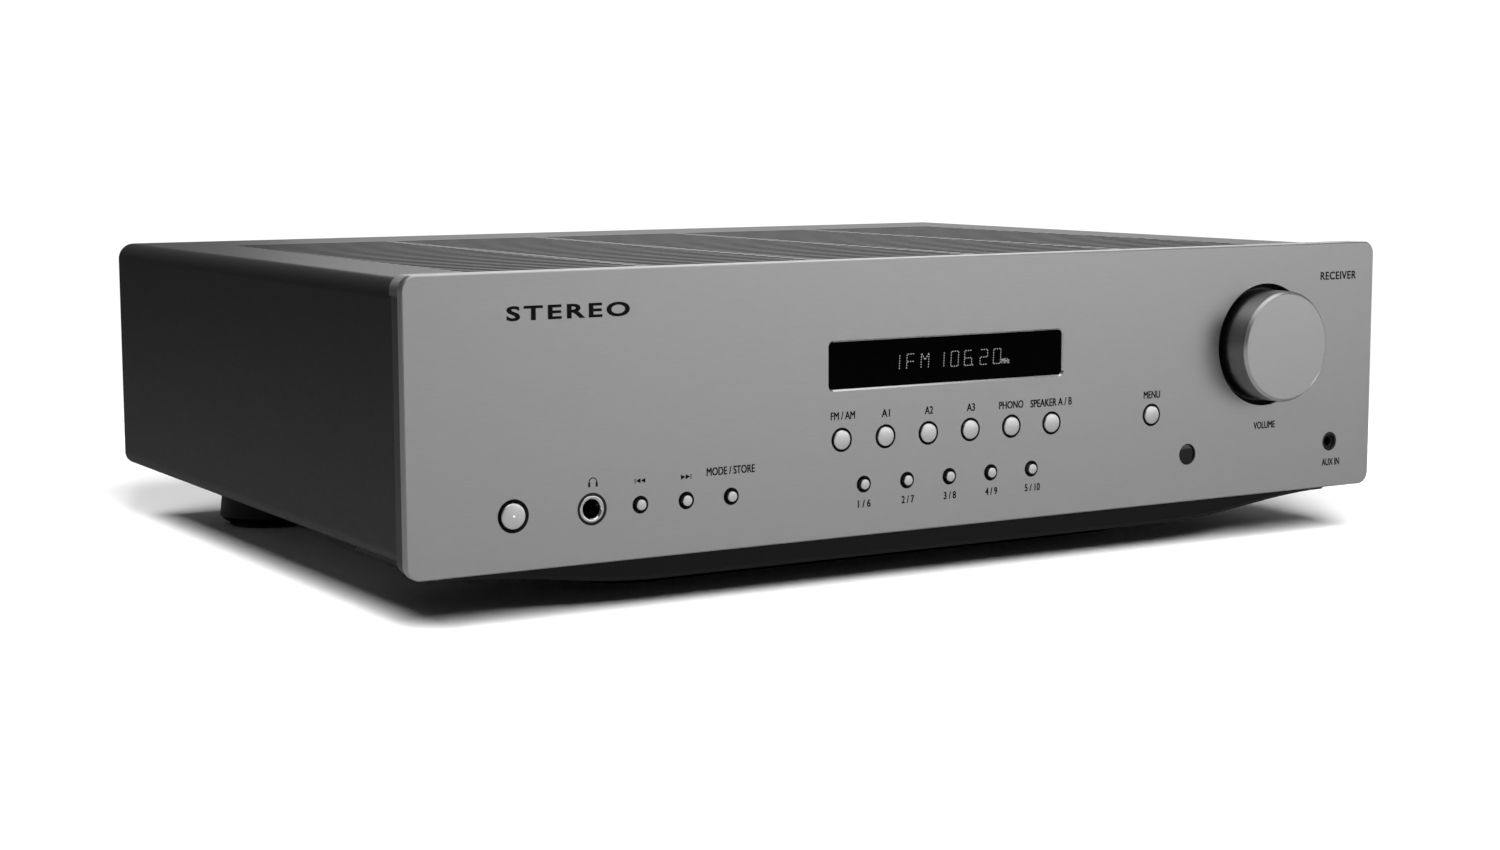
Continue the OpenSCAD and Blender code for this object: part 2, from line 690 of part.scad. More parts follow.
// Loudspeaker posts: two rows of four, minus below and plus above
function post_x(i) = x_posts + (i % 4) * post_pitch;
function post_z(i) = z_posts + floor(i / 4) * post_rise;

module terminal_block() {
    color("black") difference() {
        box([x_posts - 14, y_back - sheet, z_posts - 14],
            [x_posts + 3 * post_pitch + 14, y_back + 1.6, z_posts + post_rise + 14]);
        for (i = [0:7]) rod(post_x(i), post_z(i), y_back - 3, y_back + 3, post_d / 2, post_d / 2);
    }
}

module terminal_posts() {
    color("goldenrod") for (i = [0:7]) difference() {
        union() {
            rod(post_x(i), post_z(i), y_panel - 8, y_terminals - 0.5, post_d / 2, post_d / 2);
            rod(post_x(i), post_z(i), y_panel - 5, y_panel, 6, 6);
        }
        rod(post_x(i), post_z(i), y_terminals - 14, y_terminals + 1, post_bore_d / 2, post_bore_d / 2);
    }
}

// Screw cap of one loudspeaker post, with eight grip flats
module post_cap(i) {
    y0 = y_back + 2.1;
    color(i < 4 ? "black" : "red") difference() {
        union() {
            rod(post_x(i), post_z(i), y0 + 5, y_terminals - 1, cap_d / 2, cap_d / 2 - 0.6);
            rod(post_x(i), post_z(i), y0, y0 + 5, cap_d / 2 - 2, cap_d / 2 - 2);
            rod(post_x(i), post_z(i), y_terminals - 1, y_terminals, cap_d / 2 - 0.6, cap_d / 2 - 1.4);
        }
        rod(post_x(i), post_z(i), y0 - 1, y_terminals + 1, post_d / 2 + 0.05, post_d / 2 + 0.05);
        for (k = [0:7]) translate([post_x(i), 0, post_z(i)]) rotate([0, k * 45, 0])
            rod(cap_d / 2 + 1.2, 0, y0 + 5.8, y_terminals + 1, 2, 2);
    }
}

// Mains inlet and switch housing in one moulding, with two deep recesses
module mains_inlet() {
    flange = 2.5;
    color("black") difference() {
        union() {
            box([x_inlet - 13.8, y_panel - 20, z_inlet - 10.8],
                [x_inlet + 13.8, y_back - sheet, z_inlet + 32.8]);
            box([x_inlet - 17, y_back - sheet, z_inlet - 14],
                [x_inlet + 17, y_back + flange, z_inlet + 36]);
        }
        box([x_inlet - 12, y_back - 16, z_inlet - 8.3],
            [x_inlet + 12, y_back + flange + 1, z_inlet + 8.3]);
        box([x_inlet - 11, y_back - 8, z_pivot - 8.75], [x_inlet + 11, y_back + flange + 1, z_pivot + 8.75]);
    }
    color("silver") {
        for (x = [-7, 7]) box([x_inlet + x - 1, y_back - 16, z_inlet - 4],
            [x_inlet + x + 1, y_back - 1, z_inlet]);
        box([x_inlet - 1, y_back - 16, z_inlet + 1], [x_inlet + 1, y_back - 1, z_inlet + 5]);
        for (x = [-1, 1]) translate([x_inlet + x * 9.75, y_pivot, z_pivot])
            rotate([0, 90, 0]) cylinder(h = 2.5, r = 1.2, center = true);
    }
}

// Rocker that tips about its two side pivots, drawn at its off position
module mains_rocker() {
    half = 6.9;
    color("black") translate([x_inlet, y_pivot, z_pivot]) rotate([-rocker_tilt, 0, 0]) difference() {
        translate([-10.5, 0, 0]) rotate([90, 0, 90]) linear_extrude(21)
            polygon([[-3.5, -4], [0.7, -half], [3.8, -half + 0.2], [2.6, 0],
                     [3.8, half - 0.2], [0.7, half], [-3.5, 4]]);
        for (x = [-1, 1]) translate([x * 9.75, 0, 0]) rotate([0, 90, 0])
            cylinder(h = 4, r = 1.25, center = true);
    }
}

// Self-tapping screws round the rear edge of the cover
module case_screws() {
    color("silver") for (s = case_screw_places()) difference() {
        union() {
            rod(s[0], s[1], y_back, y_back + 2, 3.2, 2.4);
            rod(s[0], s[1], y_panel - 6, y_back, 1.3, 1.3);
        }
        for (a = [0, 90]) translate([s[0], y_back + 1.2, s[1]]) rotate([0, a, 0])
            box([-1.8, 0, -0.35], [1.8, 2, 0.35]);
    }
}

// Flat cable from the control board through the front panel to the main board
module ribbon_cable() {
    y0 = y_board + board_t;
    y1 = y_subpanel + 14;
    z1 = z_window - 22;
    z0 = z_main_top + 4;
    color("gray") {
        translate([25, 0, 0]) rotate([90, 0, 90]) linear_extrude(30)
            polygon([[y0, z1], [y1 - 1, z1], [y1 - 1, z0], [board_y0 + 14, z0], [board_y0 + 14, z0 + 1],
                     [y1, z0 + 1], [y1, z1 + 1], [y0, z1 + 1]]);
        box([23, board_y0 + 14, z_main_top], [57, board_y0 + 19, z_main_top + 8]);
    }
}

face_plate();
front_bezel();
display_window();
display_module();
ir_window();
headphone_jack();
aux_jack();
control_board();
tact_switches();
volume_encoder();
encoder_shaft();
volume_knob();
top_cover();
chassis_tray();
rear_panel();
base_plinth();
foot_pads();
rear_feet();
heatsink();
output_transistors();
transformer();
main_board();
filter_capacitors();
speaker_relays();
tuner_module();
input_board();
rca_jacks();
am_terminal();
terminal_block();
terminal_posts();
mains_inlet();
mains_rocker();
case_screws();
ribbon_cable();
button(power_at, 0.6);  // power_button
button(menu_at, 0.7);  // menu_button
for (i = [0:4]) button(preset_at(i), 1.2);
for (i = [0:5]) button(source_at(i), 0.7);
for (i = [0:2]) button(transport_at(i), 1.2);
for (i = [0:7]) post_cap(i);
for (i = [0:1]) am_lever(i);
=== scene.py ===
"""Stereo receiver: materials, fine shapes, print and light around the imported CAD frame.

The camera, the lamps and the floor are placed in metres. Everything on the object is drawn in
millimetres, in the frame's own axes, and piece() turns it into metres.
"""

import math
import random

import bmesh
import bpy
from mathutils import Matrix, Vector


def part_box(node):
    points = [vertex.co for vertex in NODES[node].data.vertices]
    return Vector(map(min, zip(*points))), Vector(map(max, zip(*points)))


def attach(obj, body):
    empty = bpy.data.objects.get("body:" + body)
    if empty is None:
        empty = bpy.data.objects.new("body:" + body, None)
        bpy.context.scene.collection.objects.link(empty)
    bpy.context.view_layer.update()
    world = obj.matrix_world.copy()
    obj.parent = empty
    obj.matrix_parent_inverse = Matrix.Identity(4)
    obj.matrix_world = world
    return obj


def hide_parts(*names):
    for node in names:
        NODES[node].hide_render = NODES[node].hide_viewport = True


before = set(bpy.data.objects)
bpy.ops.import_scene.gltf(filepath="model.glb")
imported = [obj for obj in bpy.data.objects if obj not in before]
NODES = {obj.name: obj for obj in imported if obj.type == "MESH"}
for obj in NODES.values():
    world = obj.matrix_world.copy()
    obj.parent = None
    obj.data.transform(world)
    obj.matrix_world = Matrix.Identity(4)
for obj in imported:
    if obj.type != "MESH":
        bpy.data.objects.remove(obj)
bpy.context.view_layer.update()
MM = 0.001


def place(node):
    """Low corner, high corner and centre of a CAD node in millimetres."""
    low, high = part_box(node)
    return low / MM, high / MM, (low + high) / (2 * MM)


PLATE_LOW, PLATE_HIGH, _ = place("face_plate")
FRONT = PLATE_LOW.y
PLATE_Z = PLATE_LOW.z
BACK = place("top_cover")[1].y
SHEET = 1.2
BACK_FACE = BACK - SHEET

LARGE_BUTTONS = ["power_button", "menu_button", "fm_am_button", "a1_button", "a2_button", "a3_button",
                 "phono_button", "speaker_button"]
SMALL_BUTTONS = ["previous_button", "next_button", "mode_button"] + [f"preset_{i}" for i in range(1, 6)]


# ---------------------------------------------------------------- camera and light

FOCAL_LENGTH = 58.85
CAMERA_AT = (-0.5253, -0.8889, 0.1665)
HEADING, DOWNWARD, ROLL = -31.08, 6.88, -0.17
WHITE_OUT = 1.05

# Name, place, aim, size and power; then how the lamp treats the floor (INCLUDE: it lights the floor
# alone, EXCLUDE: all but the floor, None: both), and whether it shades, reflects or does both.
LAMPS = (
    ("overhead", (0.0, -0.15, 1.5), (0, -0.15, 0), (0.75, 0.6), 40, "EXCLUDE", "shades"),
    ("front_key", (-0.30, -1.25, 1.15), (0, -0.1, 0), (0.9, 1.1), 60, "INCLUDE", "both"),
    ("left_key", (-0.95, 0.0, 1.41), (-0.2, 0, 0), (0.7, 0.7), 18, "INCLUDE", "both"),
    ("high_card", (0.0, -1.5, 1.1), (0.15, -0.16, 0.08), (0.8, 0.5), 3.5, None, "reflects"),
    ("top_card", (0.0, -0.1, 1.5), (0, 0, 0), (2.0, 1.6), 9, None, "reflects"),
    ("back_light", (1.42, 1.7, 0.55), (0, 0, 0.1), (2.0, 0.9), 4.4, None, "reflects"),
    ("rear_fill", (1.0, 1.5, 1.5), (0, 0.1, 0.05), (1.2, 1.0), 11, "EXCLUDE", "both"),
    ("front_card", (1.22, -1.72, 0.37), (0, -0.1, 0.1), (1.5, 0.9), 4.7, None, "reflects"),
)


def rotation(degrees, axis):
    """A turn about one axis, as a matrix."""
    return Matrix.Rotation(math.radians(degrees), 3, axis)


def add_camera():
    """The photograph's viewpoint, from the front left and a little above; its angles are in degrees."""
    camera = bpy.data.cameras.new("camera")
    camera.sensor_width = 36.0
    camera.lens = FOCAL_LENGTH
    camera.clip_start, camera.clip_end = 0.01, 100.0
    seat = bpy.data.objects.new("camera", camera)
    seat.location = CAMERA_AT
    turn = rotation(HEADING, "Z") @ rotation(90 - DOWNWARD, "X") @ rotation(ROLL, "Z")
    seat.rotation_euler = turn.to_euler()
    bpy.context.scene.collection.objects.link(seat)
    bpy.context.scene.camera = seat


def add_area(name, place_at, aim, size, power):
    """A soft rectangular lamp at place_at that faces aim; size is (width, height)."""
    lamp = bpy.data.lights.new(name, "AREA")
    lamp.shape = "RECTANGLE"
    lamp.size, lamp.size_y = size
    lamp.energy = power
    seat = bpy.data.objects.new(name, lamp)
    seat.location = place_at
    seat.rotation_euler = (Vector(aim) - Vector(place_at)).to_track_quat("-Z", "Y").to_euler()
    bpy.context.scene.collection.objects.link(seat)
    return seat


def add_lamps(floor):
    """The lamps of the table, with the light groups that hold the floor."""
    groups = {None: None}
    for state in ("INCLUDE", "EXCLUDE"):
        groups[state] = bpy.data.collections.new("floor_" + state.lower())
        groups[state].objects.link(floor)
        groups[state].collection_objects[0].light_linking.link_state = state
    for name, place_at, aim, size, power, floor_state, role in LAMPS:
        lamp = add_area(name, place_at, aim, size, power)
        lamp.light_linking.receiver_collection = groups[floor_state]
        lamp.visible_diffuse = role != "reflects"
        lamp.visible_glossy = role != "shades"


def clear_tree(owner):
    """Empties the node tree of a world or a material; returns its makers of nodes and links."""
    owner.use_nodes = True
    owner.node_tree.nodes.clear()
    return owner.node_tree.nodes.new, owner.node_tree.links.new


def set_range(node, source, target):
    """A Map Range node carries the span source onto the span target."""
    for side, span in (("From", source), ("To", target)):
        for end, value in zip(("Min", "Max"), span):
            node.inputs[f"{side} {end}"].default_value = value


def add_world():
    """A dim grey studio round the lamps, darker to the left; the camera sees plain white."""
    side, dark, light = 0.9, 0.045, 0.16
    world = bpy.data.worlds.new("studio")
    bpy.context.scene.world = world
    new, link = clear_tree(world)
    out, pick, path = new("ShaderNodeOutputWorld"), new("ShaderNodeMixShader"), new("ShaderNodeLightPath")
    dim, white = new("ShaderNodeBackground"), new("ShaderNodeBackground")
    coord, split, level = new("ShaderNodeTexCoord"), new("ShaderNodeSeparateXYZ"), new("ShaderNodeMapRange")
    set_range(level, (-side, side), (dark, light))
    white.inputs["Strength"].default_value = WHITE_OUT
    white.inputs["Color"].default_value = (1, 1, 1, 1)
    link(coord.outputs["Generated"], split.inputs["Vector"])
    link(split.outputs["X"], level.inputs["Value"])
    link(level.outputs["Result"], dim.inputs["Color"])
    link(path.outputs["Is Camera Ray"], pick.inputs["Fac"])
    link(dim.outputs["Background"], pick.inputs[1])
    link(white.outputs["Background"], pick.inputs[2])
    link(pick.outputs["Shader"], out.inputs["Surface"])


def floor_material():
    """White paper for the camera, fading into the white background; mid grey in reflections."""
    fade_start, fade_end = 0.42, 0.75
    grey_low, grey_high = 0.14, 0.17
    paper = bpy.data.materials.new("floor_paper")
    new, link = clear_tree(paper)
    out, path, coord = new("ShaderNodeOutputMaterial"), new("ShaderNodeLightPath"), new("ShaderNodeTexCoord")
    grain, tone = new("ShaderNodeTexNoise"), new("ShaderNodeMapRange")
    matte, bright = new("ShaderNodeBsdfDiffuse"), new("ShaderNodeBsdfDiffuse")
    white, length, fade = new("ShaderNodeEmission"), new("ShaderNodeVectorMath"), new("ShaderNodeMapRange")
    inner, outer = new("ShaderNodeMixShader"), new("ShaderNodeMixShader")
    grain.inputs["Scale"].default_value = 300.0
    set_range(tone, (0, 1), (grey_low, grey_high))
    bright.inputs["Color"].default_value = (1, 1, 1, 1)
    white.inputs["Strength"].default_value = WHITE_OUT
    length.operation = "LENGTH"
    fade.interpolation_type = "SMOOTHSTEP"
    set_range(fade, (fade_start, fade_end), (0, 1))
    link(coord.outputs["Object"], grain.inputs["Vector"])
    link(grain.outputs["Fac"], tone.inputs["Value"])
    link(tone.outputs["Result"], matte.inputs["Color"])
    link(coord.outputs["Object"], length.inputs[0])
    link(length.outputs["Value"], fade.inputs["Value"])
    link(fade.outputs["Result"], inner.inputs["Fac"])
    link(bright.outputs["BSDF"], inner.inputs[1])
    link(white.outputs["Emission"], inner.inputs[2])
    link(path.outputs["Is Camera Ray"], outer.inputs["Fac"])
    link(matte.outputs["BSDF"], outer.inputs[1])
    link(inner.outputs["Shader"], outer.inputs[2])
    link(outer.outputs["Shader"], out.inputs["Surface"])
    return paper


def add_floor():
    """A wide flat sheet just under the feet."""
    half_side, drop = 20.0, 0.0002
    bm = bmesh.new()
    bmesh.ops.create_grid(bm, x_segments=8, y_segments=8, size=half_side)
    mesh = bpy.data.meshes.new("floor")
    bm.to_mesh(mesh)
    bm.free()
    mesh.materials.append(floor_material())
    floor = bpy.data.objects.new("floor", mesh)
    floor.location.z = -drop
    bpy.context.scene.collection.objects.link(floor)
    return floor


# ---------------------------------------------------------------- materials

def make_material(name, colour, rough, size, tint, swing, bump, metallic=0.0, grain=(1, 1, 1), **fixed):
    """One noise field of scale size, stretched by grain, drives the colour, the roughness and a bump:
    tint and swing say how far the first two move. colour is a grey level or (red, green, blue), and
    fixed holds further Principled sockets, with _ for the spaces in their names."""
    field, relief_height = (0.3, 0.7), 0.0001
    if not isinstance(colour, tuple):
        colour = (colour,) * 3
    material = bpy.data.materials.new(name)
    material.use_nodes = True
    tree = material.node_tree
    shader = tree.nodes["Principled BSDF"]
    new, link = tree.nodes.new, tree.links.new
    coord, mapping = new("ShaderNodeTexCoord"), new("ShaderNodeMapping")
    noise, ramp = new("ShaderNodeTexNoise"), new("ShaderNodeValToRGB")
    spread, relief = new("ShaderNodeMapRange"), new("ShaderNodeBump")
    mapping.inputs["Scale"].default_value = grain
    noise.inputs["Scale"].default_value = size
    noise.inputs["Detail"].default_value = 4.0
    for element, position, factor in zip(ramp.color_ramp.elements, field, (1 - tint, 1 + tint)):
        element.position = position
        element.color = [min(1.0, c * factor) for c in colour] + [1.0]
    set_range(spread, field, (rough - swing, rough + swing))
    relief.inputs["Strength"].default_value = bump
    relief.inputs["Distance"].default_value = relief_height
    shader.inputs["Metallic"].default_value = metallic
    for socket, value in fixed.items():
        shader.inputs[socket.replace("_", " ")].default_value = value
    link(coord.outputs["Object"], mapping.inputs["Vector"])
    link(mapping.outputs["Vector"], noise.inputs["Vector"])
    link(noise.outputs["Fac"], ramp.inputs["Fac"])
    link(noise.outputs["Fac"], spread.inputs["Value"])
    link(noise.outputs["Fac"], relief.inputs["Height"])
    link(ramp.outputs["Color"], shader.inputs["Base Color"])
    link(spread.outputs["Result"], shader.inputs["Roughness"])
    link(relief.outputs["Normal"], shader.inputs["Normal"])
    return material


def make_metal(*values, **more):
    """A material of bare metal, from the same values."""
    return make_material(*values, metallic=1.0, **more)


# Each: name, colour, roughness, noise scale, colour tint, roughness swing, bump.
MATERIALS = {
    "plate": make_metal("brushed_aluminium", 0.58, 0.42, 1500, 0.03, 0.02, 0.08, grain=(0.12, 1, 2.0)),
    # The knob's side: a darker copy of the knob's aluminium, painted shade for the side turned from the
    # light.
    "knob_side": make_metal("turned_aluminium", 0.36, 0.31, 2600, 0.05, 0.05, 0.08),
    "knob": make_metal("satin_aluminium", 0.64, 0.40, 2600, 0.07, 0.05, 0.12),
    "button": make_metal("polished_aluminium", 0.93, 0.33, 1500, 0.03, 0.04, 0.03),
    "knob_edge": make_metal("knob_bevel", 0.75, 0.34, 1500, 0.03, 0.04, 0.03),
    "bright_edge": make_metal("cut_aluminium", 0.90, 0.22, 1500, 0.03, 0.04, 0.03),
    # The bezel's cap: a lighter copy of the bezel plastic, painted light; the rest of the bezel stays darker.
    "bezel_cap": make_material("bezel_cap_painted_light", 0.16, 0.40, 2400, 0.10, 0.05, 0.10),
    "bezel": make_material("bezel_plastic", 0.075, 0.42, 2400, 0.10, 0.05, 0.10),
    "cover": make_material("cover_paint", 0.010, 0.42, 1500, 0.15, 0.05, 0.16, Specular_IOR_Level=0.45),
    "plinth": make_material("plinth_plastic", 0.006, 0.42, 1800, 0.2, 0.06, 0.15, Specular_IOR_Level=0.3),
    # Black plastic, also laid on the plate's hole walls as painted shade.
    "black": make_material("black_plastic", 0.015, 0.36, 1600, 0.2, 0.06, 0.10),
    # The lining of the knob's hole: a near-black matt sheet, painted shade.
    "well": make_material("matt_black_painted_shade", 0.004, 0.7, 1600, 0.2, 0.06, 0.10, Specular_IOR_Level=0.2),
    "gloss": make_material("window_acrylic", 0.0015, 0.09, 300, 0.3, 0.02, 0.01, Specular_IOR_Level=0.03),
    "eye": make_material("infrared_lens", (0.010, 0.008, 0.009), 0.10, 300, 0.2, 0.02, 0.01,
                         Specular_IOR_Level=0.6),
    "ink": make_material("print_ink", 0.005, 0.60, 2500, 0.3, 0.08, 0.15, Specular_IOR_Level=0.15),
    "white_ink": make_material("white_print", 0.72, 0.55, 2500, 0.06, 0.08, 0.15),
    "nickel": make_metal("nickel_plate", 0.90, 0.16, 1200, 0.04, 0.05, 0.05),
    "zinc": make_metal("zinc_steel", (0.56, 0.57, 0.58), 0.38, 160, 0.10, 0.10, 0.10),
    "gold": make_metal("gold_plate", (0.83, 0.60, 0.25), 0.22, 1200, 0.05, 0.05, 0.05),
    "rubber": make_material("pad_felt", 0.03, 0.85, 3000, 0.3, 0.08, 0.6),
    "board": make_material("circuit_board", (0.02, 0.10, 0.045), 0.34, 500, 0.25, 0.08, 0.2),
    "switch": make_material("switch_plastic", 0.08, 0.4, 1500, 0.15, 0.06, 0.1),
    "sink": make_material("black_anodised", 0.045, 0.42, 1600, 0.15, 0.08, 0.2, metallic=0.8,
                          grain=(1, 1, 0.05)),
    "chip": make_material("moulded_epoxy", 0.02, 0.5, 2500, 0.2, 0.06, 0.2),
    "winding": make_material("winding_film", (0.42, 0.21, 0.05), 0.30, 500, 0.25, 0.1, 0.25, metallic=0.3,
                             grain=(1, 1, 6), Coat_Weight=0.5),
    "sleeve": make_material("capacitor_sleeve", (0.018, 0.022, 0.05), 0.28, 900, 0.15, 0.05, 0.05),
    "can_top": make_metal("capacitor_top", 0.62, 0.35, 1400, 0.06, 0.06, 0.1),
    "relay": make_material("relay_case", (0.62, 0.60, 0.55), 0.35, 900, 0.05, 0.06, 0.05),
    "jack_white": make_material("insulator_white", 0.72, 0.35, 1500, 0.05, 0.05, 0.05),
    "jack_red": make_material("insulator_red", (0.52, 0.012, 0.015), 0.32, 1500, 0.1, 0.05, 0.05),
    "cap_red": make_material("cap_red", (0.50, 0.010, 0.014), 0.25, 1200, 0.1, 0.05, 0.05),
    "cap_black": make_material("cap_black", 0.014, 0.25, 1200, 0.2, 0.05, 0.05),
    "lever": make_material("lever_plastic", (0.60, 0.58, 0.52), 0.4, 1500, 0.05, 0.06, 0.1),
    "cable": make_material("cable_pvc", 0.38, 0.45, 600, 0.2, 0.05, 0.2, grain=(12, 0.1, 1)),
    "lamp": make_material("light_point", 0.8, 0.4, 900, 0.05, 0.05, 0.02, Emission_Color=(1, 1, 1, 1),
                          Emission_Strength=0.9),
    "segment": make_material("tube_phosphor", 0.25, 0.5, 2500, 0.15, 0.05, 0.02,
                             Emission_Color=(0.95, 0.98, 1.0, 1), Emission_Strength=0.38),
}


# ---------------------------------------------------------------- mesh helpers, all in millimetres

ON_AXIS = 1e-6
PRINT_DEPTH = 0.05


def support_rings(profile, closed):
    """A profile with an extra point near each end of its long stretches, so that smooth shading
    stays true on them. Stretches that end on the axis need none."""
    long_stretch, inset = 1.0, 0.05
    dense = []
    for a, b in zip(profile, profile[1:] + profile[:1]):
        dense.append(a)
        length = math.dist(a, b)
        drawn = closed or b != profile[0]
        if drawn and length > long_stretch and min(a[0], b[0]) > ON_AXIS:
            near = inset / length
            dense += [tuple(p + (q - p) * t for p, q in zip(a, b)) for t in (near, 1 - near)]
    return dense


def lathe(profile, x, z, turns=72, closed=False):
    """Turned shape about the Y line through (x, z): profile points are (radius, y)."""
    verts, rings, faces = [], [], []
    for r, y in support_rings(profile, closed):
        count = 1 if r < ON_AXIS else turns
        rings.append([len(verts) + k for k in range(count)])
        for k in range(count):
            a = 2 * math.pi * k / turns
            verts.append((x + r * math.cos(a), y, z + r * math.sin(a)))
    pairs = list(zip(rings, rings[1:])) + ([(rings[-1], rings[0])] if closed else [])
    for a, b in pairs:
        for i in range(turns if len(a) + len(b) > 2 else 0):
            j = (i + 1) % turns
            if len(a) == 1:
                faces.append((a[0], b[i], b[j]))
            elif len(b) == 1:
                faces.append((a[i], b[0], a[j]))
            else:
                faces.append((a[i], b[i], b[j], a[j]))
    return verts, faces


def round_corner(r_centre, y_centre, radius, start, stop, steps=6):
    """Profile points on an arc; angles are in degrees from the outward direction towards +Y."""
    turns = [math.radians(start + (stop - start) * k / steps) for k in range(steps + 1)]
    return [(r_centre + radius * math.cos(a), y_centre + radius * math.sin(a)) for a in turns]


def block(low, high, bevel, steps=2):
    """A box with rounded edges, or with sharp ones if bevel is 0."""
    bm = bmesh.new()
    bmesh.ops.create_cube(bm, size=1.0)
    size = [h - l for l, h in zip(low, high)]
    for v in bm.verts:
        v.co = Vector(((c + 0.5) * s + l for c, s, l in zip(v.co, size, low)))
    if bevel > 0:
        bmesh.ops.bevel(bm, geom=bm.edges[:], offset=min(bevel, min(size) * 0.45), segments=steps,
                        profile=0.5, affect="EDGES", clamp_overlap=True)
    bm.verts.index_update()
    verts = [tuple(v.co) for v in bm.verts]
    faces = [tuple(v.index for v in f.verts) for f in bm.faces]
    bm.free()
    return verts, faces


def sheet_outline(points, y0, y1):
    """A flat XZ outline thickened from y0 to y1."""
    n = len(points)
    verts = [(x, y, z) for y in (y0, y1) for x, z in points]
    faces = [tuple(range(n)), tuple(range(2 * n - 1, n - 1, -1))]
    faces += [(k, (k + 1) % n, n + (k + 1) % n, n + k) for k in range(n)]
    return verts, faces


def border_edges(faces):
    """The directed edges that only one face uses."""
    edges = [(f[k], f[(k + 1) % len(f)]) for f in faces for k in range(len(f))]
    known = set(edges)
    return [(a, b) for a, b in edges if (b, a) not in known]


def letter_shapes(text, swell, spacing):
    """Points and faces of a flat text in Blender's own typeface; swell makes its strokes bolder."""
    curve = bpy.data.curves.new("text", "FONT")
    curve.body = text
    curve.offset = swell
    curve.space_character = spacing
    curve.resolution_u = 4
    seat = bpy.data.objects.new("text", curve)
    bpy.context.scene.collection.objects.link(seat)
    bpy.context.view_layer.update()
    mesh = bpy.data.meshes.new_from_object(seat)
    points = [v.co.copy() for v in mesh.vertices]
    faces = [tuple(p.vertices) for p in mesh.polygons]
    bpy.data.objects.remove(seat)
    bpy.data.meshes.remove(mesh)
    bpy.data.curves.remove(curve)
    return points, faces


def lettering(text, x, z, width, height, y, swell=0.0, spacing=1.0, flip=False, depth=PRINT_DEPTH):
    """Generic print as a thin solid, centred on (x, z), that stands out from y to the front, or to
    the back if flip is set. With width 0 the letters keep their own proportions."""
    points, flat = letter_shapes(text, swell, spacing)
    low = [min(p[i] for p in points) for i in (0, 1)]
    high = [max(p[i] for p in points) for i in (0, 1)]
    scale_z = height / (high[1] - low[1])
    scale_x = width / (high[0] - low[0]) if width else scale_z
    side = -1 if flip else 1
    n = len(points)
    flat_points = [(x + side * (p[0] - (low[0] + high[0]) / 2) * scale_x,
                    z + (p[1] - (low[1] + high[1]) / 2) * scale_z) for p in points]
    verts = [(px, level, pz) for level in (y - side * depth, y) for px, pz in flat_points]
    faces = flat + [tuple(n + v for v in reversed(f)) for f in flat]
    faces += [(b, a, n + a, n + b) for a, b in border_edges(flat)]
    return verts, faces


def piece(name, parts, material, body, replaces=()):
    """Joins mesh parts given in millimetres into one riding object."""
    sharp_from = 35.0
    verts, faces = [], []
    for part_verts, part_faces in parts:
        start = len(verts)
        verts += [Vector(v) * MM for v in part_verts]
        faces += [tuple(start + i for i in f) for f in part_faces]
    mesh = bpy.data.meshes.new(name)
    mesh.from_pydata(verts, [], faces)
    bm = bmesh.new()
    bm.from_mesh(mesh)
    bmesh.ops.recalc_face_normals(bm, faces=bm.faces[:])
    bm.to_mesh(mesh)
    bm.free()
    mesh.shade_smooth()
    mesh.set_sharp_from_angle(angle=math.radians(sharp_from))
    mesh.materials.append(MATERIALS[material])
    made = bpy.data.objects.new(name, mesh)
    bpy.context.scene.collection.objects.link(made)
    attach(made, body)
    if replaces:
        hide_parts(*replaces)


# ---------------------------------------------------------------- CAD nodes get their finish

FINISH = {
    "face_plate": "plate", "front_bezel": "bezel", "display_window": "gloss", "display_module": "black",
    "control_board": "board", "tact_switches": "switch", "volume_encoder": "zinc",
    "encoder_shaft": "nickel", "top_cover": "cover", "chassis_tray": "zinc", "rear_panel": "cover",
    "base_plinth": "plinth", "foot_pads": "rubber", "rear_feet": "plinth", "heatsink": "sink",
    "output_transistors": "chip", "main_board": "board", "speaker_relays": "relay",
    "tuner_module": "nickel", "input_board": "board", "am_terminal": "black",
    "terminal_block": "black", "terminal_posts": "gold", "mains_inlet": "black",
    "mains_rocker": "black", "case_screws": "nickel", "ribbon_cable": "cable",
    "am_lever_left": "lever", "am_lever_right": "lever",
}


def finish_nodes():
    """Gives each CAD node that no piece replaces its material."""
    for name, key in FINISH.items():
        mesh = NODES[name].data
        mesh.materials.clear()
        mesh.materials.append(MATERIALS[key])


def paint(node, key, chosen):
    """Gives a second finish to the faces of a CAD node whose centre, in millimetres, is chosen."""
    mesh = NODES[node].data
    mesh.materials.append(MATERIALS[key])
    for face in mesh.polygons:
        if chosen(face.center / MM):
            face.material_index = len(mesh.materials) - 1


def paint_plate():
    """Painted shade as black walls in the holes of the buttons and the knob; a bright bevel round the window.
    """
    skin, rim = 0.02, 6
    knob_width, knob_margin, button_margin = 30, 3, 1
    bevel_depth, bevel_margin = 1.0, 2
    holes = []
    for node in LARGE_BUTTONS + SMALL_BUTTONS + ["volume_knob"]:
        low, high, centre = place(node)
        width = high.x - low.x
        margin = knob_margin if width > knob_width else button_margin
        holes.append((centre, width / 2 + margin))

    def hole_shade(p):
        return (p.y > FRONT + skin and abs(p.x) < PLATE_HIGH.x - rim
                and any(math.hypot(p.x - c.x, p.z - c.z) < reach for c, reach in holes))

    low, high, centre = place("display_window")
    wide, tall = (high.x - low.x) / 2 + bevel_margin, (high.z - low.z) / 2 + bevel_margin

    def round_window(p):
        return (FRONT + skin < p.y < FRONT + bevel_depth
                and abs(p.x - centre.x) < wide and abs(p.z - centre.z) < tall)

    # The hole walls of the aluminium plate are painted black: painted shade for the dark gaps round the
    # buttons and the knob.
    paint("face_plate", "black", hole_shade)
    paint("face_plate", "bright_edge", round_window)


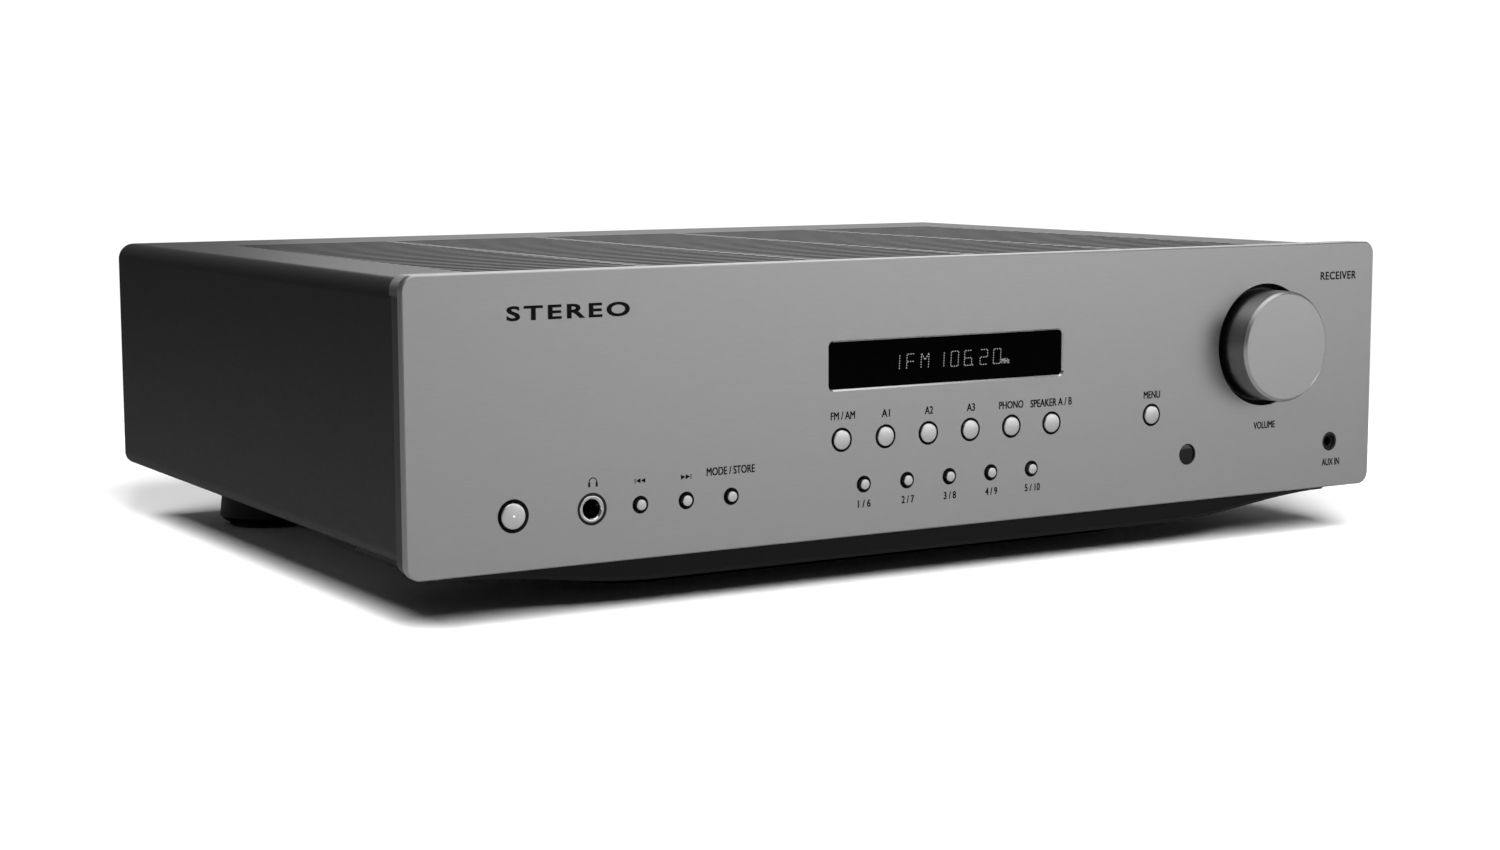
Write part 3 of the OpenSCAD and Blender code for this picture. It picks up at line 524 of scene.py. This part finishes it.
def paint_bezel():
    """Painted light: a lighter plastic on the bezel's raised cap, along the top and round both top corners.
    """
    behind_plate, cap_height, top_strip = FRONT + 3.55, 6.85, 1.1
    corner = PLATE_HIGH.x - 5.65
    paint("front_bezel", "bezel_cap", lambda p: p.y > behind_plate and p.z > PLATE_HIGH.z - cap_height
          and (abs(p.x) > corner or p.z > PLATE_HIGH.z - top_strip))


def paint_metal_parts():
    """Pins of the mains inlet, wire pins of the AM terminal, legs of the transistors."""
    _, _, inlet = place("mains_inlet")
    pins_wide, pin_root, pin_tip = 8.2, BACK - 15.9, BACK - 0.9
    pins_low, pins_high = inlet.z - 17, inlet.z - 5
    paint("mains_inlet", "nickel", lambda p: abs(p.x - inlet.x) < pins_wide
          and pin_root < p.y < pin_tip and pins_low < p.z < pins_high)
    low, _, _ = place("am_terminal")
    pin_y, pin_z, pin_reach = BACK - 0.4, low.z + 8.1, 0.75
    paint("am_terminal", "nickel", lambda p: math.hypot(p.y - pin_y, p.z - pin_z) < pin_reach)
    low, _, _ = place("output_transistors")
    leg_top = low.z + 21.9
    paint("output_transistors", "nickel", lambda p: p.z < leg_top)


# ---------------------------------------------------------------- front

def add_knob():
    """Knob body, its diamond-cut bevel and its fine satin face."""
    low, high, centre = place("volume_knob")
    r = (high.x - low.x) / 2
    wall, hub, bore, cut, fillet = 2.2, 7, 3.05, 1.0, 0.3
    web, bore_end, seat, hub_end = low.y + 3.5, low.y + 4, low.y + 1.6, high.y - 1.2
    face_r = r - 1.3

    def inset(points):
        """Profile points given as (in from the rim, back from the face)."""
        return [(r - inward, low.y + back) for inward, back in points]

    body = [(r, high.y), (r - wall, high.y), (r - wall, web), (hub, web), (hub, hub_end), (bore, hub_end),
            (bore, bore_end), (0, bore_end), (0, seat), (face_r, seat), (face_r, low.y + cut + fillet)]
    body += round_corner(r - fillet, low.y + cut + fillet, fillet, -90, 0, 3)
    bevel = inset([(1.35, 1.55), (1.2, 0.12), (1.05, 0), (0.2, 0.9), (0.25, 1.25), (1.1, 1.5)])
    face = inset([(r, 0.06), (1.3, 0.06), (1.2, 0.16), (1.4, 1.5), (r, 1.5)])
    # The body's side takes knob_side, whose darker aluminium is painted shade.
    for name, profile, closed, key, replaced in (
            ("knob_turned", body, True, "knob_side", ["volume_knob"]),
            ("knob_bevel", bevel, True, "knob_edge", ()),
            ("knob_face", face, False, "knob", ())):
        piece(name, [lathe(profile, centre.x, centre.z, 160, closed)], key, "volume_knob",
              replaced)


def add_knob_well():
    """Painted shade: a matt black lining in the knob's hole, which darkens the gap round the knob."""
    _, _, centre = place("volume_knob")
    hole, wall, lip, lip_thick = 24.45, 0.4, 22.7, 0.5
    mouth, back = FRONT + 0.45, FRONT + 3.4
    liner = [(hole, mouth), (hole, back), (lip, back), (lip, back - lip_thick),
             (hole - wall, back - lip_thick), (hole - wall, mouth)]
    piece("knob_well", [lathe(liner, centre.x, centre.z, 160, True)], "well", "root")


def find_flange(node, reach):
    """Front plane of a button's retaining flange: its CAD mesh farther than reach from its axis."""
    _, _, centre = place(node)
    return min(v.co.y / MM for v in NODES[node].data.vertices
               if math.hypot(v.co.x / MM - centre.x, v.co.z / MM - centre.z) > reach)


def add_button(node, crown, dome):
    """Turned button with a slightly domed face, a rounded crown, its flange and its stem."""
    low, high, centre = place(node)
    flange_width, flange_thick, stem = 1.3, 1.0, 1.5
    r = (high.x - low.x) / 2 - flange_width
    dome_r, arc = r * 0.92, 32
    flat_end = math.cos(math.radians(arc))
    profile = []
    for turn in range(0, arc + 1, 4):
        a = math.radians(turn)
        profile.append((dome_r * math.sin(a) / math.sin(math.radians(arc)),
                        low.y + dome * (1 - (math.cos(a) - flat_end) / (1 - flat_end))))
    profile += round_corner(r - crown, low.y + dome + crown, crown, -60, 0, 5)
    flange = find_flange(node, r + 1.0)
    profile += [(r, flange), (r + flange_width, flange), (r + flange_width, flange + flange_thick),
                (stem, flange + flange_thick), (stem, high.y), (0, high.y)]
    piece(node + "_turned", [lathe(profile, centre.x, centre.z, 64)], "button", node, [node])


def add_power_light():
    """The light point in the middle of the power button."""
    low, _, centre = place("power_button")
    r, flat, chamfer, deep = 0.6, 0.35, 0.1, 0.9
    profile = [(0, low.y), (flat, low.y), (r, low.y + chamfer), (r, low.y + deep), (0, low.y + deep)]
    piece("power_light", [lathe(profile, centre.x, centre.z, 32)], "lamp", "power_button")


def add_buttons():
    """The eight large buttons and the eight small ones, with the light point of the first."""
    for node in LARGE_BUTTONS:
        add_button(node, crown=0.45, dome=0.18)
        if node == "power_button":
            add_power_light()
    for node in SMALL_BUTTONS:
        add_button(node, crown=0.3, dome=0.08)


def add_headphone_jack():
    """Ring nut, chrome mouth, body with a square tunnel, the bore's tube and two contact springs."""
    low, high, centre = place("headphone_jack")
    x, z = centre.x, centre.z
    bore, nose, nose_round, ring_bore, web = 3.25, 5.55, 0.35, 4.7, FRONT + 5.5
    ring_profile = [(nose, web), (nose, FRONT + nose_round)]
    ring_profile += round_corner(nose - nose_round, FRONT + nose_round, nose_round, 0, -90, 4)
    ring_profile += [(ring_bore + 0.05, FRONT), (ring_bore, FRONT + 0.3), (ring_bore, web)]
    mouth = ring_bore - 0.02
    chrome = [(mouth, web), (mouth, FRONT + 0.4)] + round_corner(mouth - 0.28, FRONT + 0.3, 0.28, 0, -90, 4)
    chrome += round_corner(bore + 0.75, FRONT + 0.77, 0.75, -90, -180, 7)
    chrome += [(bore, FRONT + 6.5), (bore + 0.95, FRONT + 6.5)]
    piece("headphone_ring", [lathe(ring_profile, x, z, 96, True)], "black", "root")
    piece("headphone_chrome", [lathe(chrome, x, z, 96, True)], "nickel", "root")
    tube_r, lap = 4.6, 0.2
    start, stop, cap = FRONT + 6.6, FRONT + 31.9, FRONT + 32.6
    tube = [(bore + 0.02, start), (bore + 0.02, stop), (0, stop), (0, cap), (tube_r, cap), (tube_r, start)]
    inside, outside = tube_r, tube_r + lap
    sides = [block((low.x, web, low.z), (x - inside, high.y, high.z), 0.4),
             block((x + inside, web, low.z), (high.x, high.y, high.z), 0.4),
             block((x - outside, web, low.z), (x + outside, high.y, z - inside), 0.2),
             block((x - outside, web, z + inside), (x + outside, high.y, high.z), 0.2),
             block((x - outside, high.y - 2.3, z - outside), (x + outside, high.y, z + outside), 0.2)]
    piece("headphone_body", [lathe(tube, x, z, 64, True)] + sides, "black", "root",
          ["headphone_jack"])
    half_width, half_thick, length, off = 0.9, 0.25, 5, 3.1
    springs = []
    for side, y in ((-1, FRONT + 12), (1, FRONT + 18)):
        low_z, high_z = z + side * off - half_thick, z + side * off + half_thick
        springs.append(block((x - half_width, y, low_z), (x + half_width, y + length, high_z), 0.2))
    piece("headphone_springs", springs, "gold", "root")


def add_aux_jack():
    """Round nose with a stepped mouth, on a body with a square tunnel."""
    low, high, centre = place("aux_jack")
    x, z = centre.x, centre.z
    bore, nose, nose_round, mouth, web = 1.8, 3.8, 0.4, 2.75, FRONT + 5.0
    bore_end, tube_end = FRONT + 15, web + 11
    rim = [(nose, web), (nose, FRONT + 0.5)]
    rim += round_corner(nose - nose_round, FRONT + 0.5, nose_round, 0, -90, 4)
    rim += [(mouth + 0.15, FRONT + 0.1), (mouth, FRONT + 0.4), (mouth, FRONT + 0.9), (2.2, FRONT + 0.9),
            (bore, FRONT + 1.2), (bore, bore_end), (0, bore_end), (0, tube_end), (nose, tube_end)]
    inside, outside = nose - 0.2, nose
    sides = [((low.x, low.z), (high.x, z - inside)), ((low.x, z + inside), (high.x, high.z)),
             ((low.x, z - outside), (x - inside, z + outside)),
             ((x + inside, z - outside), (high.x, z + outside))]
    parts = [lathe(rim, x, z, 72, True)]
    parts += [block((x0, web, z0), (x1, high.y, z1), 0.2) for (x0, z0), (x1, z1) in sides]
    piece("aux_socket", parts, "black", "root", ["aux_jack"])


def add_infrared_lens():
    """Dark lens with a slightly domed face and a narrower neck behind the plate."""
    low, high, centre = place("ir_window")
    r = (high.x - low.x) / 2
    dome, dome_r, steps, fillet, neck = 0.25, r * 0.93, 6, 0.3, r - 1.05
    profile = [(dome_r * k / steps, low.y + dome * (k / steps) ** 2) for k in range(steps + 1)]
    profile += round_corner(r - fillet, low.y + 0.6, fillet, -60, 0, 4)
    profile += [(r, FRONT + 3.5), (neck, FRONT + 3.5), (neck, high.y), (0, high.y)]
    piece("infrared_lens", [lathe(profile, centre.x, centre.z, 72)], "eye", "root",
          ["ir_window"])


# Figures and letters of the display, as bars whose ends run 0..1 across and up.
BARS = {"a": ((0, 1), (1, 1)), "b": ((1, 1), (1, 0.5)), "c": ((1, 0.5), (1, 0)), "d": ((0, 0), (1, 0)),
        "e": ((0, 0.5), (0, 0)), "f": ((0, 1), (0, 0.5)), "g": ((0, 0.5), (1, 0.5)),
        "h": ((0, 1), (0.5, 0.55)), "i": ((1, 1), (0.5, 0.55))}
SIGNS = {"1": "bc", "0": "abcdef", "6": "acdefg", "2": "abdeg", "F": "aefg", "M": "bcefhi"}


def bar(x, z, w, h, y):
    """A flat rectangle of print centred on (x, z)."""
    return sheet_outline([(x - w / 2, z - h / 2), (x + w / 2, z - h / 2), (x + w / 2, z + h / 2),
                          (x - w / 2, z + h / 2)], y - PRINT_DEPTH, y)


def triangle(x, z, w, h, y):
    """A filled arrow head; w is negative when it points left."""
    return sheet_outline([(x - w / 2, z - h / 2), (x + w / 2, z), (x - w / 2, z + h / 2)], y - PRINT_DEPTH, y)


def dash(start, end, half, y):
    """A flat bar of print from start to end, twice half wide."""
    (px, pz), (qx, qz) = start, end
    length = math.hypot(qx - px, qz - pz)
    nx, nz = -(qz - pz) / length * half, (qx - px) / length * half
    return sheet_outline([(px + nx, pz + nz), (px - nx, pz - nz), (qx - nx, qz - nz), (qx + nx, qz + nz)],
                         y - PRINT_DEPTH, y)


def add_display():
    """The lit dashes of the tuner display, on the face of the smoked window."""
    y = place("display_window")[0].y + 0.01
    middle = PLATE_Z + 62.2
    tall, wide, lean, half = 5.5, 3.3, 0.05, 0.14
    dashes, dash_start, dash_end = 3, 0.24, 0.76
    cells = [("1", -23.4), ("F", -16.9), ("M", -10.5), ("1", -3.6), ("0", 2.9), ("6", 9.0), ("2", 16.2),
             ("0", 22.3)]

    def on_glass(cell_x, across, up):
        rise = (up - 0.5) * tall
        return cell_x + across * wide + rise * lean, middle + rise

    parts = []
    for sign, cell_x in cells:
        for name in SIGNS[sign]:
            (ax, az), (bx, bz) = BARS[name]
            for k in range(dashes):
                ends = [on_glass(cell_x, ax + (bx - ax) * t, az + (bz - az) * t)
                        for t in ((k + dash_start) / dashes, (k + dash_end) / dashes)]
                parts.append(dash(*ends, half, y))
    parts.append(bar(12.7, middle - 2.7, 0.4, 0.4, y))
    parts.append(lettering("MHz", 27.9, middle - 1.9, 3.6, 1.9, y))
    piece("display_segments", parts, "segment", "root")


# Word, place from the plate's middle and its lower edge, width, height, stroke swell, letter spacing.
FRONT_WORDS = [
    ("STEREO", -154.9, 86.3, 46.0, 4.9, 0.022, 1.25), ("RECEIVER", 195.5, 86.7, 19.5, 3.2, 0.006, 1.1),
    ("FM / AM", -45.5, 44.3, 10.3, 2.8, 0, 1), ("A1", -26.9, 44.1, 3.5, 2.8, 0, 1),
    ("A2", -7.8, 44.0, 3.6, 2.8, 0, 1), ("A3", 11.2, 43.9, 3.6, 2.8, 0, 1),
    ("PHONO", 29.9, 43.7, 11.2, 2.8, 0, 1), ("SPEAKER A / B", 48.8, 43.5, 19.6, 2.9, 0, 1),
    ("MENU", 98.1, 43.5, 8.1, 2.8, 0, 1), ("VOLUME", 156.9, 27.9, 11.3, 2.8, 0, 1),
    ("AUX IN", 193.7, 10.3, 9.5, 2.8, 0, 1), ("MODE / STORE", -92.3, 28.1, 19.5, 2.8, 0, 1),
    ("1 / 6", -36.2, 11.7, 5.4, 2.7, 0, 1), ("2 / 7", -17.0, 11.7, 5.4, 2.7, 0, 1),
    ("3 / 8", 1.9, 11.7, 5.4, 2.7, 0, 1), ("4 / 9", 20.9, 11.7, 5.4, 2.7, 0, 1),
    ("5 / 10", 40.2, 11.7, 7.0, 2.7, 0, 1),
]
# Each word is laid down four times, a little apart and at its own depth, to make its strokes bolder.
COPIES = ((-0.08, -0.05, 0.050), (0.08, -0.05, 0.047), (-0.08, 0.05, 0.044), (0.08, 0.05, 0.041))


def skip_mark(x, z, way):
    """Two arrow heads and a bar, to the right if way is 1 and to the left if it is -1."""
    arrow, tall, stroke = 1.8, 1.7, 0.3
    heads = [triangle(x - way * off, z, way * arrow, tall, FRONT) for off in (-0.6, 1.3)]
    return heads + [bar(x + way * arrow, z, stroke, tall, FRONT)]


def headphone_mark(x, z):
    """A band over the head, as a half ring, and two ear pads."""
    wide, tall, stroke = 1.65, 1.75, 0.35
    outer = [math.radians(a) for a in range(0, 181, 12)]
    inner = [math.radians(a) for a in range(180, -1, -12)]
    band = [(x + wide * math.cos(a), z + tall * math.sin(a)) for a in outer]
    band += [(x + (wide - stroke) * math.cos(a), z + (tall - stroke) * math.sin(a)) for a in inner]
    pads = [bar(x + side * 1.45, z - 0.75, 0.75, 1.6, FRONT) for side in (-1, 1)]
    return [sheet_outline(band, FRONT - PRINT_DEPTH, FRONT)] + pads


def add_front_print():
    """Generic function names and marks, printed on the plate."""
    parts = [lettering(text, x + dx, PLATE_Z + z + dz, width, height, FRONT, swell, spacing, depth=depth)
             for text, x, z, width, height, swell, spacing in FRONT_WORDS for dx, dz, depth in COPIES]
    skip_z = PLATE_Z + 27.1
    parts += skip_mark(-128.6, skip_z, -1) + skip_mark(-110.2, skip_z, 1)
    parts += headphone_mark(-146.6, PLATE_Z + 27.9)
    piece("front_print", parts, "ink", "root")


# ---------------------------------------------------------------- back

JACK_COLUMNS, JACK_PITCH, JACK_HALF = 5, 18.0, 7


def jack_axis(column, row):
    """Axis of a phono jack as (x, z); row 0 is the lower one."""
    low, _, _ = place("rca_jacks")
    return low.x + JACK_HALF + column * JACK_PITCH, low.z + JACK_HALF + row * JACK_PITCH


def add_phono_jacks():
    """Ten phono jacks: nickel sleeve, coloured insulator and collar, black body on the board."""
    low, high, _ = place("rca_jacks")
    end, panel_back = high.y, BACK_FACE - SHEET
    sleeve, sleeve_bore, tip, pin_bore, collar = 4.15, 3.4, 2.0, 1.6, 6.4
    shell = [(sleeve, panel_back), (sleeve, end - 0.35), (sleeve - 0.2, end), (sleeve_bore + 0.15, end),
             (sleeve_bore, end - 0.3), (sleeve_bore, panel_back)]
    core_r = sleeve_bore - 0.02
    core = [(core_r, BACK_FACE), (core_r, end - 0.9), (3.1, end - 0.6), (tip, end - 0.6),
            (pin_bore, end - 1.0), (pin_bore, BACK - 1), (0, BACK - 1), (0, BACK_FACE)]
    collar_bore, collar_y = sleeve + 0.05, BACK_FACE + 0.02
    washer = [(collar_bore, collar_y), (collar, collar_y), (collar, BACK_FACE + 0.6),
              (collar - 0.4, BACK_FACE + 0.9), (collar_bore, BACK_FACE + 0.9)]
    bodies, sleeves, colours = [], [], {"jack_red": [], "jack_white": []}
    for column in range(JACK_COLUMNS):
        for row, key in enumerate(("jack_red", "jack_white")):
            x, z = jack_axis(column, row)
            bodies.append(block((x - JACK_HALF, low.y, z - JACK_HALF),
                                (x + JACK_HALF, panel_back, z + JACK_HALF), 0.4))
            sleeves.append(lathe(shell, x, z, 48, True))
            colours[key] += [lathe(core, x, z, 48), lathe(washer, x, z, 48, True)]
    piece("phono_bodies", bodies, "black", "root", ["rca_jacks"])
    piece("phono_sleeves", sleeves, "nickel", "root")
    piece("phono_red", colours["jack_red"], "jack_red", "root")
    piece("phono_white", colours["jack_white"], "jack_white", "root")


def fluted(verts, centre, start, neck):
    """Presses rounded grooves into turned points that lie outside neck and behind start."""
    flutes, half_angle, depth, roundness = 8, 13.0, 0.8, 1.4
    shaped = []
    for x, y, z in verts:
        dx, dz = x - centre.x, z - centre.z
        r, turn = math.hypot(dx, dz), math.degrees(math.atan2(dz, dx))
        off = abs((turn + 180 / flutes) % (360 / flutes) - 180 / flutes)
        if y > start and r > neck and off < half_angle:
            cut = depth * math.cos(math.pi / 2 * off / half_angle) ** roundness
            dx, dz = dx * (r - cut) / r, dz * (r - cut) / r
        shaped.append((centre.x + dx, y, centre.z + dz))
    return shaped


def add_post_caps():
    """Fluted screw caps, red for plus and black for minus; each rides on its own body."""
    radius, neck, neck_long, neck_round, bore = 7.0, 5.0, 5, 0.4, 3.05
    for side in ("a_left", "a_right", "b_left", "b_right"):
        for sign, key in (("minus", "cap_black"), ("plus", "cap_red")):
            node = f"cap_{side}_{sign}"
            low, high, centre = place(node)
            start = low.y + neck_long
            profile = [(bore, low.y), (neck - neck_round, low.y)]
            profile += round_corner(neck - neck_round, low.y + neck_round, neck_round, -90, 0, 3)
            profile += [(neck, start), (radius - 0.5, start), (radius - 0.1, start + 0.3),
                        (radius, start + 0.8), (radius - 0.3, (start + high.y) / 2),
                        (radius - 0.6, high.y - 1.0), (radius - 0.85, high.y - 0.4), (radius - 1.5, high.y),
                        (bore + 0.4, high.y), (bore, high.y - 0.4)]
            verts, faces = lathe(profile, centre.x, centre.z, 144, True)
            cap = (fluted(verts, centre, start + 0.5, neck), faces)
            piece(node + "_turned", [cap], key, node, [node])


def on_rocker(part, rise):
    """Carries a flat part drawn in XZ onto the rocker's upper face (rise 1) or its lower one (-1).
    The two faces meet in a ridge; the rocker is drawn at rest, tilted about its pivot."""
    low, _, centre = place("mains_rocker")
    tilt, pivot_y, pivot_z = math.radians(-10), BACK + 1.0, low.z + 7.26
    ridge, mark_at, drop, reach = 2.6, 3.6, 1.2, 6.7
    along = Vector((drop, rise * reach)).normalized()
    out = Vector((reach, -rise * drop)).normalized()
    points, faces = part
    verts = []
    for x, y, z in points:
        p = Vector((ridge, 0)) + along * (mark_at + rise * z) + out * y
        verts.append((centre.x - x, pivot_y + p.x * math.cos(tilt) - p.y * math.sin(tilt),
                      pivot_z + p.x * math.sin(tilt) + p.y * math.cos(tilt)))
    return verts, faces


def add_rocker_marks():
    """The on stroke and the off ring; the rocker carries them."""
    stroke = bar(0, 0, 0.5, 3.0, PRINT_DEPTH)
    ring = lathe([(1.6, 0), (1.6, PRINT_DEPTH), (1.15, PRINT_DEPTH), (1.15, 0)], 0, 0, 48, True)
    piece("rocker_marks", [on_rocker(stroke, 1), on_rocker(ring, -1)], "white_ink", "mains_rocker")


def add_back_print():
    """Generic words at the sockets, and plus and minus signs at the loudspeaker posts."""
    parts = []

    def word(text, x, z, height, y=BACK_FACE):
        parts.append(lettering(text, x, z, 0, height, y, 0.006, 1.05, True))

    low, high, _ = place("rca_jacks")
    for column, text in enumerate(("REC OUT", "A3", "A2", "A1", "PHONO")):
        word(text, jack_axis(column, 0)[0], high.z + 3.2, 2.2)
    for row, text in enumerate("RL"):
        for x in (low.x - 4.5, high.x + 4.5):
            word(text, x, jack_axis(0, row)[1], 3.0)
    low, _, centre = place("am_terminal")
    word("AM LOOP", centre.x, low.z - 4, 2.4)
    word("FM 75 ohm", centre.x, place("tuner_module")[1].z + 1.5, 2.4)
    low, high, centre = place("mains_inlet")
    word("AC IN", centre.x, low.z - 4, 2.6)
    word("POWER", centre.x, high.z + 4, 2.6)
    low, high, centre = place("terminal_block")
    word("SPEAKERS", centre.x, high.z + 4.5, 3.2)
    for side, text in (("a_left", "A  L"), ("a_right", "A  R"), ("b_left", "B  L"), ("b_right", "B  R")):
        word(text, place(f"cap_{side}_plus")[2].x, high.z - 3.2, 2.4, high.y)
    plus, minus = place("cap_a_left_plus")[2].z, place("cap_a_left_minus")[2].z
    long, thick, outer = 2.6, 0.5, high.y + PRINT_DEPTH
    for x in (low.x + 2.6, high.x - 2.6):
        parts += [bar(x, plus, long, thick, outer), bar(x, plus, thick, long, outer),
                  bar(x, minus, long, thick, outer)]
    piece("back_print", parts, "white_ink", "root")


# ---------------------------------------------------------------- inside

def upright(part, x, y):
    """Turns a part made about the Y line so that it stands on the Z line through (x, y)."""
    points, faces = part
    return [(x + a, y + b, h) for a, h, b in points], faces


def add_transformer():
    """Wound ring between its pad and a dished plate with a bolt."""
    low, high, centre = place("transformer")
    r, hole, corner = (high.x - low.x) / 2 - 0.05, 18.0, 12.0
    top, bottom, ripples, ripple_height = high.z - 6, low.z + 3, 60, 0.35
    profile = [(hole + 0.5, bottom + 1)] + round_corner(r - corner, bottom + corner, corner, -90, 0, 7)
    profile += round_corner(r - corner, top - corner, corner, 0, 90, 7)
    profile += [(hole + 3, top), (hole, top - 3), (hole, bottom + 3)]
    verts, faces = lathe(profile, 0, 0, 240, True)
    waved = []
    for x, h, z in verts:
        turn, size = math.atan2(z, x), math.hypot(x, z)
        keep = (size - ripple_height * (0.5 - 0.5 * math.cos(ripples * turn))) / size
        waved.append((x * keep, h, z * keep))
    piece("transformer_winding", [upright((waved, faces), centre.x, centre.y)], "winding", "root",
          ["transformer"])
    pad_r, pad_top = r - 10, bottom - 0.2
    pad = [(0, low.z), (pad_r, low.z), (pad_r, pad_top), (0, pad_top)]
    dish = [(0, top + 0.05), (20, top + 0.05), (24, top + 0.4), (24, top + 1.2), (19, top + 1.9),
            (10, top + 1.4), (0, top + 1.4)]
    bolt = [(0, bottom), (3.9, bottom), (3.9, top + 1.5), (7, top + 1.5), (7, top + 2.4), (5.6, top + 2.4),
            (5.6, top + 5.4), (5.1, high.z), (0, high.z)]
    for name, outline, turns, key, slot in (("pad", pad, 72, "rubber", "pads"),
                                            ("plate", dish, 96, "zinc", "zinc_steel"),
                                            ("bolt", bolt, 6, "nickel", "nickel")):
        stood = upright(lathe(outline, 0, 0, turns), centre.x, centre.y)
        piece("transformer_" + name, [stood], key, "root")


def add_capacitors():
    """Three reservoir capacitors with a vented metal top and a pale minus stripe."""
    low, high, _ = place("filter_capacitors")
    r, y = (high.y - low.y) / 2, (low.y + high.y) / 2
    shoulder, lip, recess, groove = 1.5, r - 3.2, 1.0, 0.25
    side = [(0, low.z), (r - 1.2, low.z), (r - 0.2, low.z + 1)]
    side += round_corner(r - 0.2 - shoulder, high.z - shoulder, shoulder, 0, 90)
    side += [(lip + 0.2, high.z - 0.05), (lip, high.z - recess), (0, high.z - recess)]
    lid_r, lid_bottom, lid_top = lip - 0.1, high.z - 0.9, high.z - 0.5
    lid = [(0, lid_bottom), (lid_r, lid_bottom), (lid_r, lid_top), (0, lid_top)]
    stripe_half, stripe_low, stripe_high = 2.2, low.z + 2, high.z - 3
    sleeves, tops, stripes = [], [], []
    for x in (low.x + r, (low.x + high.x) / 2 - 0.5, high.x - r):
        sleeves.append(upright(lathe(side, 0, 0, 72), x, y))
        tops.append(upright(lathe(lid, 0, 0, 48), x, y))
        for a, b in ((r - 5, groove), (groove, r - 5)):
            stripes.append(block((x - a, y - b, lid_top), (x + a, y + b, lid_top + 0.15), 0))
        stripes.append(block((x - stripe_half, low.y + 0.05, stripe_low),
                             (x + stripe_half, low.y + 1.0, stripe_high), 0.2))
    piece("capacitor_sleeves", sleeves, "sleeve", "root", ["filter_capacitors"])
    piece("capacitor_tops", tops, "can_top", "root")
    piece("capacitor_marks", stripes, "jack_white", "root")


# Small parts as (w, d). Equal figures are a can's radius, a wider part is a resistor with half its
# length first, and a deeper part is a film capacitor with its whole width and depth.
FOOTPRINTS = ((3.2, 3.2), (2.5, 2.5), (6.0, 2.4), (4.5, 7.0))
BOARD_NEIGHBOURS = ("filter_capacitors", "heatsink", "speaker_relays", "transformer",
                    "output_transistors", "tuner_module", "ribbon_cable", "input_board",
                    "terminal_posts", "mains_inlet", "rca_jacks", "am_terminal")


def free_spots(low, high):
    """Places (x, y, w, d) drawn at random on the board, clear of its neighbours and of each other."""
    tries, border, clearance, spacing = 420, 8, 2, 1.5
    taken = [place(node)[:2] for node in BOARD_NEIGHBOURS]
    chance = random.Random(7)
    used = []
    for _ in range(tries):
        w, d = chance.choice(FOOTPRINTS)
        x = chance.uniform(low.x + border, high.x - border)
        y = chance.uniform(low.y + border, high.y - border)
        under = any(a.x - w - clearance < x < b.x + w + clearance
                    and a.y - d - clearance < y < b.y + d + clearance for a, b in taken)
        close = any(abs(x - u) < w + p + spacing and abs(y - v) < d + q + spacing for u, v, p, q in used)
        if not under and not close:
            used.append((x, y, w, d))
    return used


def add_board_parts():
    """Small parts scattered over the free areas of the main board."""
    low, high, _ = place("main_board")
    top = high.z
    can_ratio, can_round, film_high = 3.2, 0.5, 9
    body_reach, body_half, body_low, body_high, lead_half, lead_high = 0.7, 1.1, 0.3, 2.5, 0.3, 0.6
    cans, films, rods = [], [], []
    for x, y, w, d in free_spots(low, high):
        if w == d:
            can_top = top + can_ratio * w
            can = [(0, top), (w, top)]
            can += round_corner(w - can_round, can_top - can_round, can_round, 0, 90, 3)
            cans.append(upright(lathe(can + [(0, can_top)], 0, 0, 24), x, y))
        elif w > d:
            rods.append(block((x - w * body_reach, y - body_half, top + body_low),
                              (x + w * body_reach, y + body_half, top + body_high), 0.8, 3))
            rods.append(block((x - w, y - lead_half, top), (x + w, y + lead_half, top + lead_high), 0.1))
        else:
            films.append(block((x - w / 2, y - d / 2, top), (x + w / 2, y + d / 2, top + film_high), 0.6))
    piece("board_cans", cans, "sleeve", "root")
    piece("board_resistors", rods, "lever", "root")
    piece("board_film", films, "cap_red", "root")


# ---------------------------------------------------------------- the whole scene

add_camera()
add_world()
add_lamps(add_floor())

finish_nodes()
paint_plate()
paint_bezel()
paint_metal_parts()
add_knob()
add_knob_well()
add_buttons()
add_headphone_jack()
add_aux_jack()
add_infrared_lens()
add_display()
add_front_print()
add_phono_jacks()
add_post_caps()
add_back_print()
add_rocker_marks()
add_transformer()
add_capacitors()
add_board_parts()

bpy.context.scene.view_settings.view_transform = "Standard"
bpy.context.scene.view_settings.look = "None"
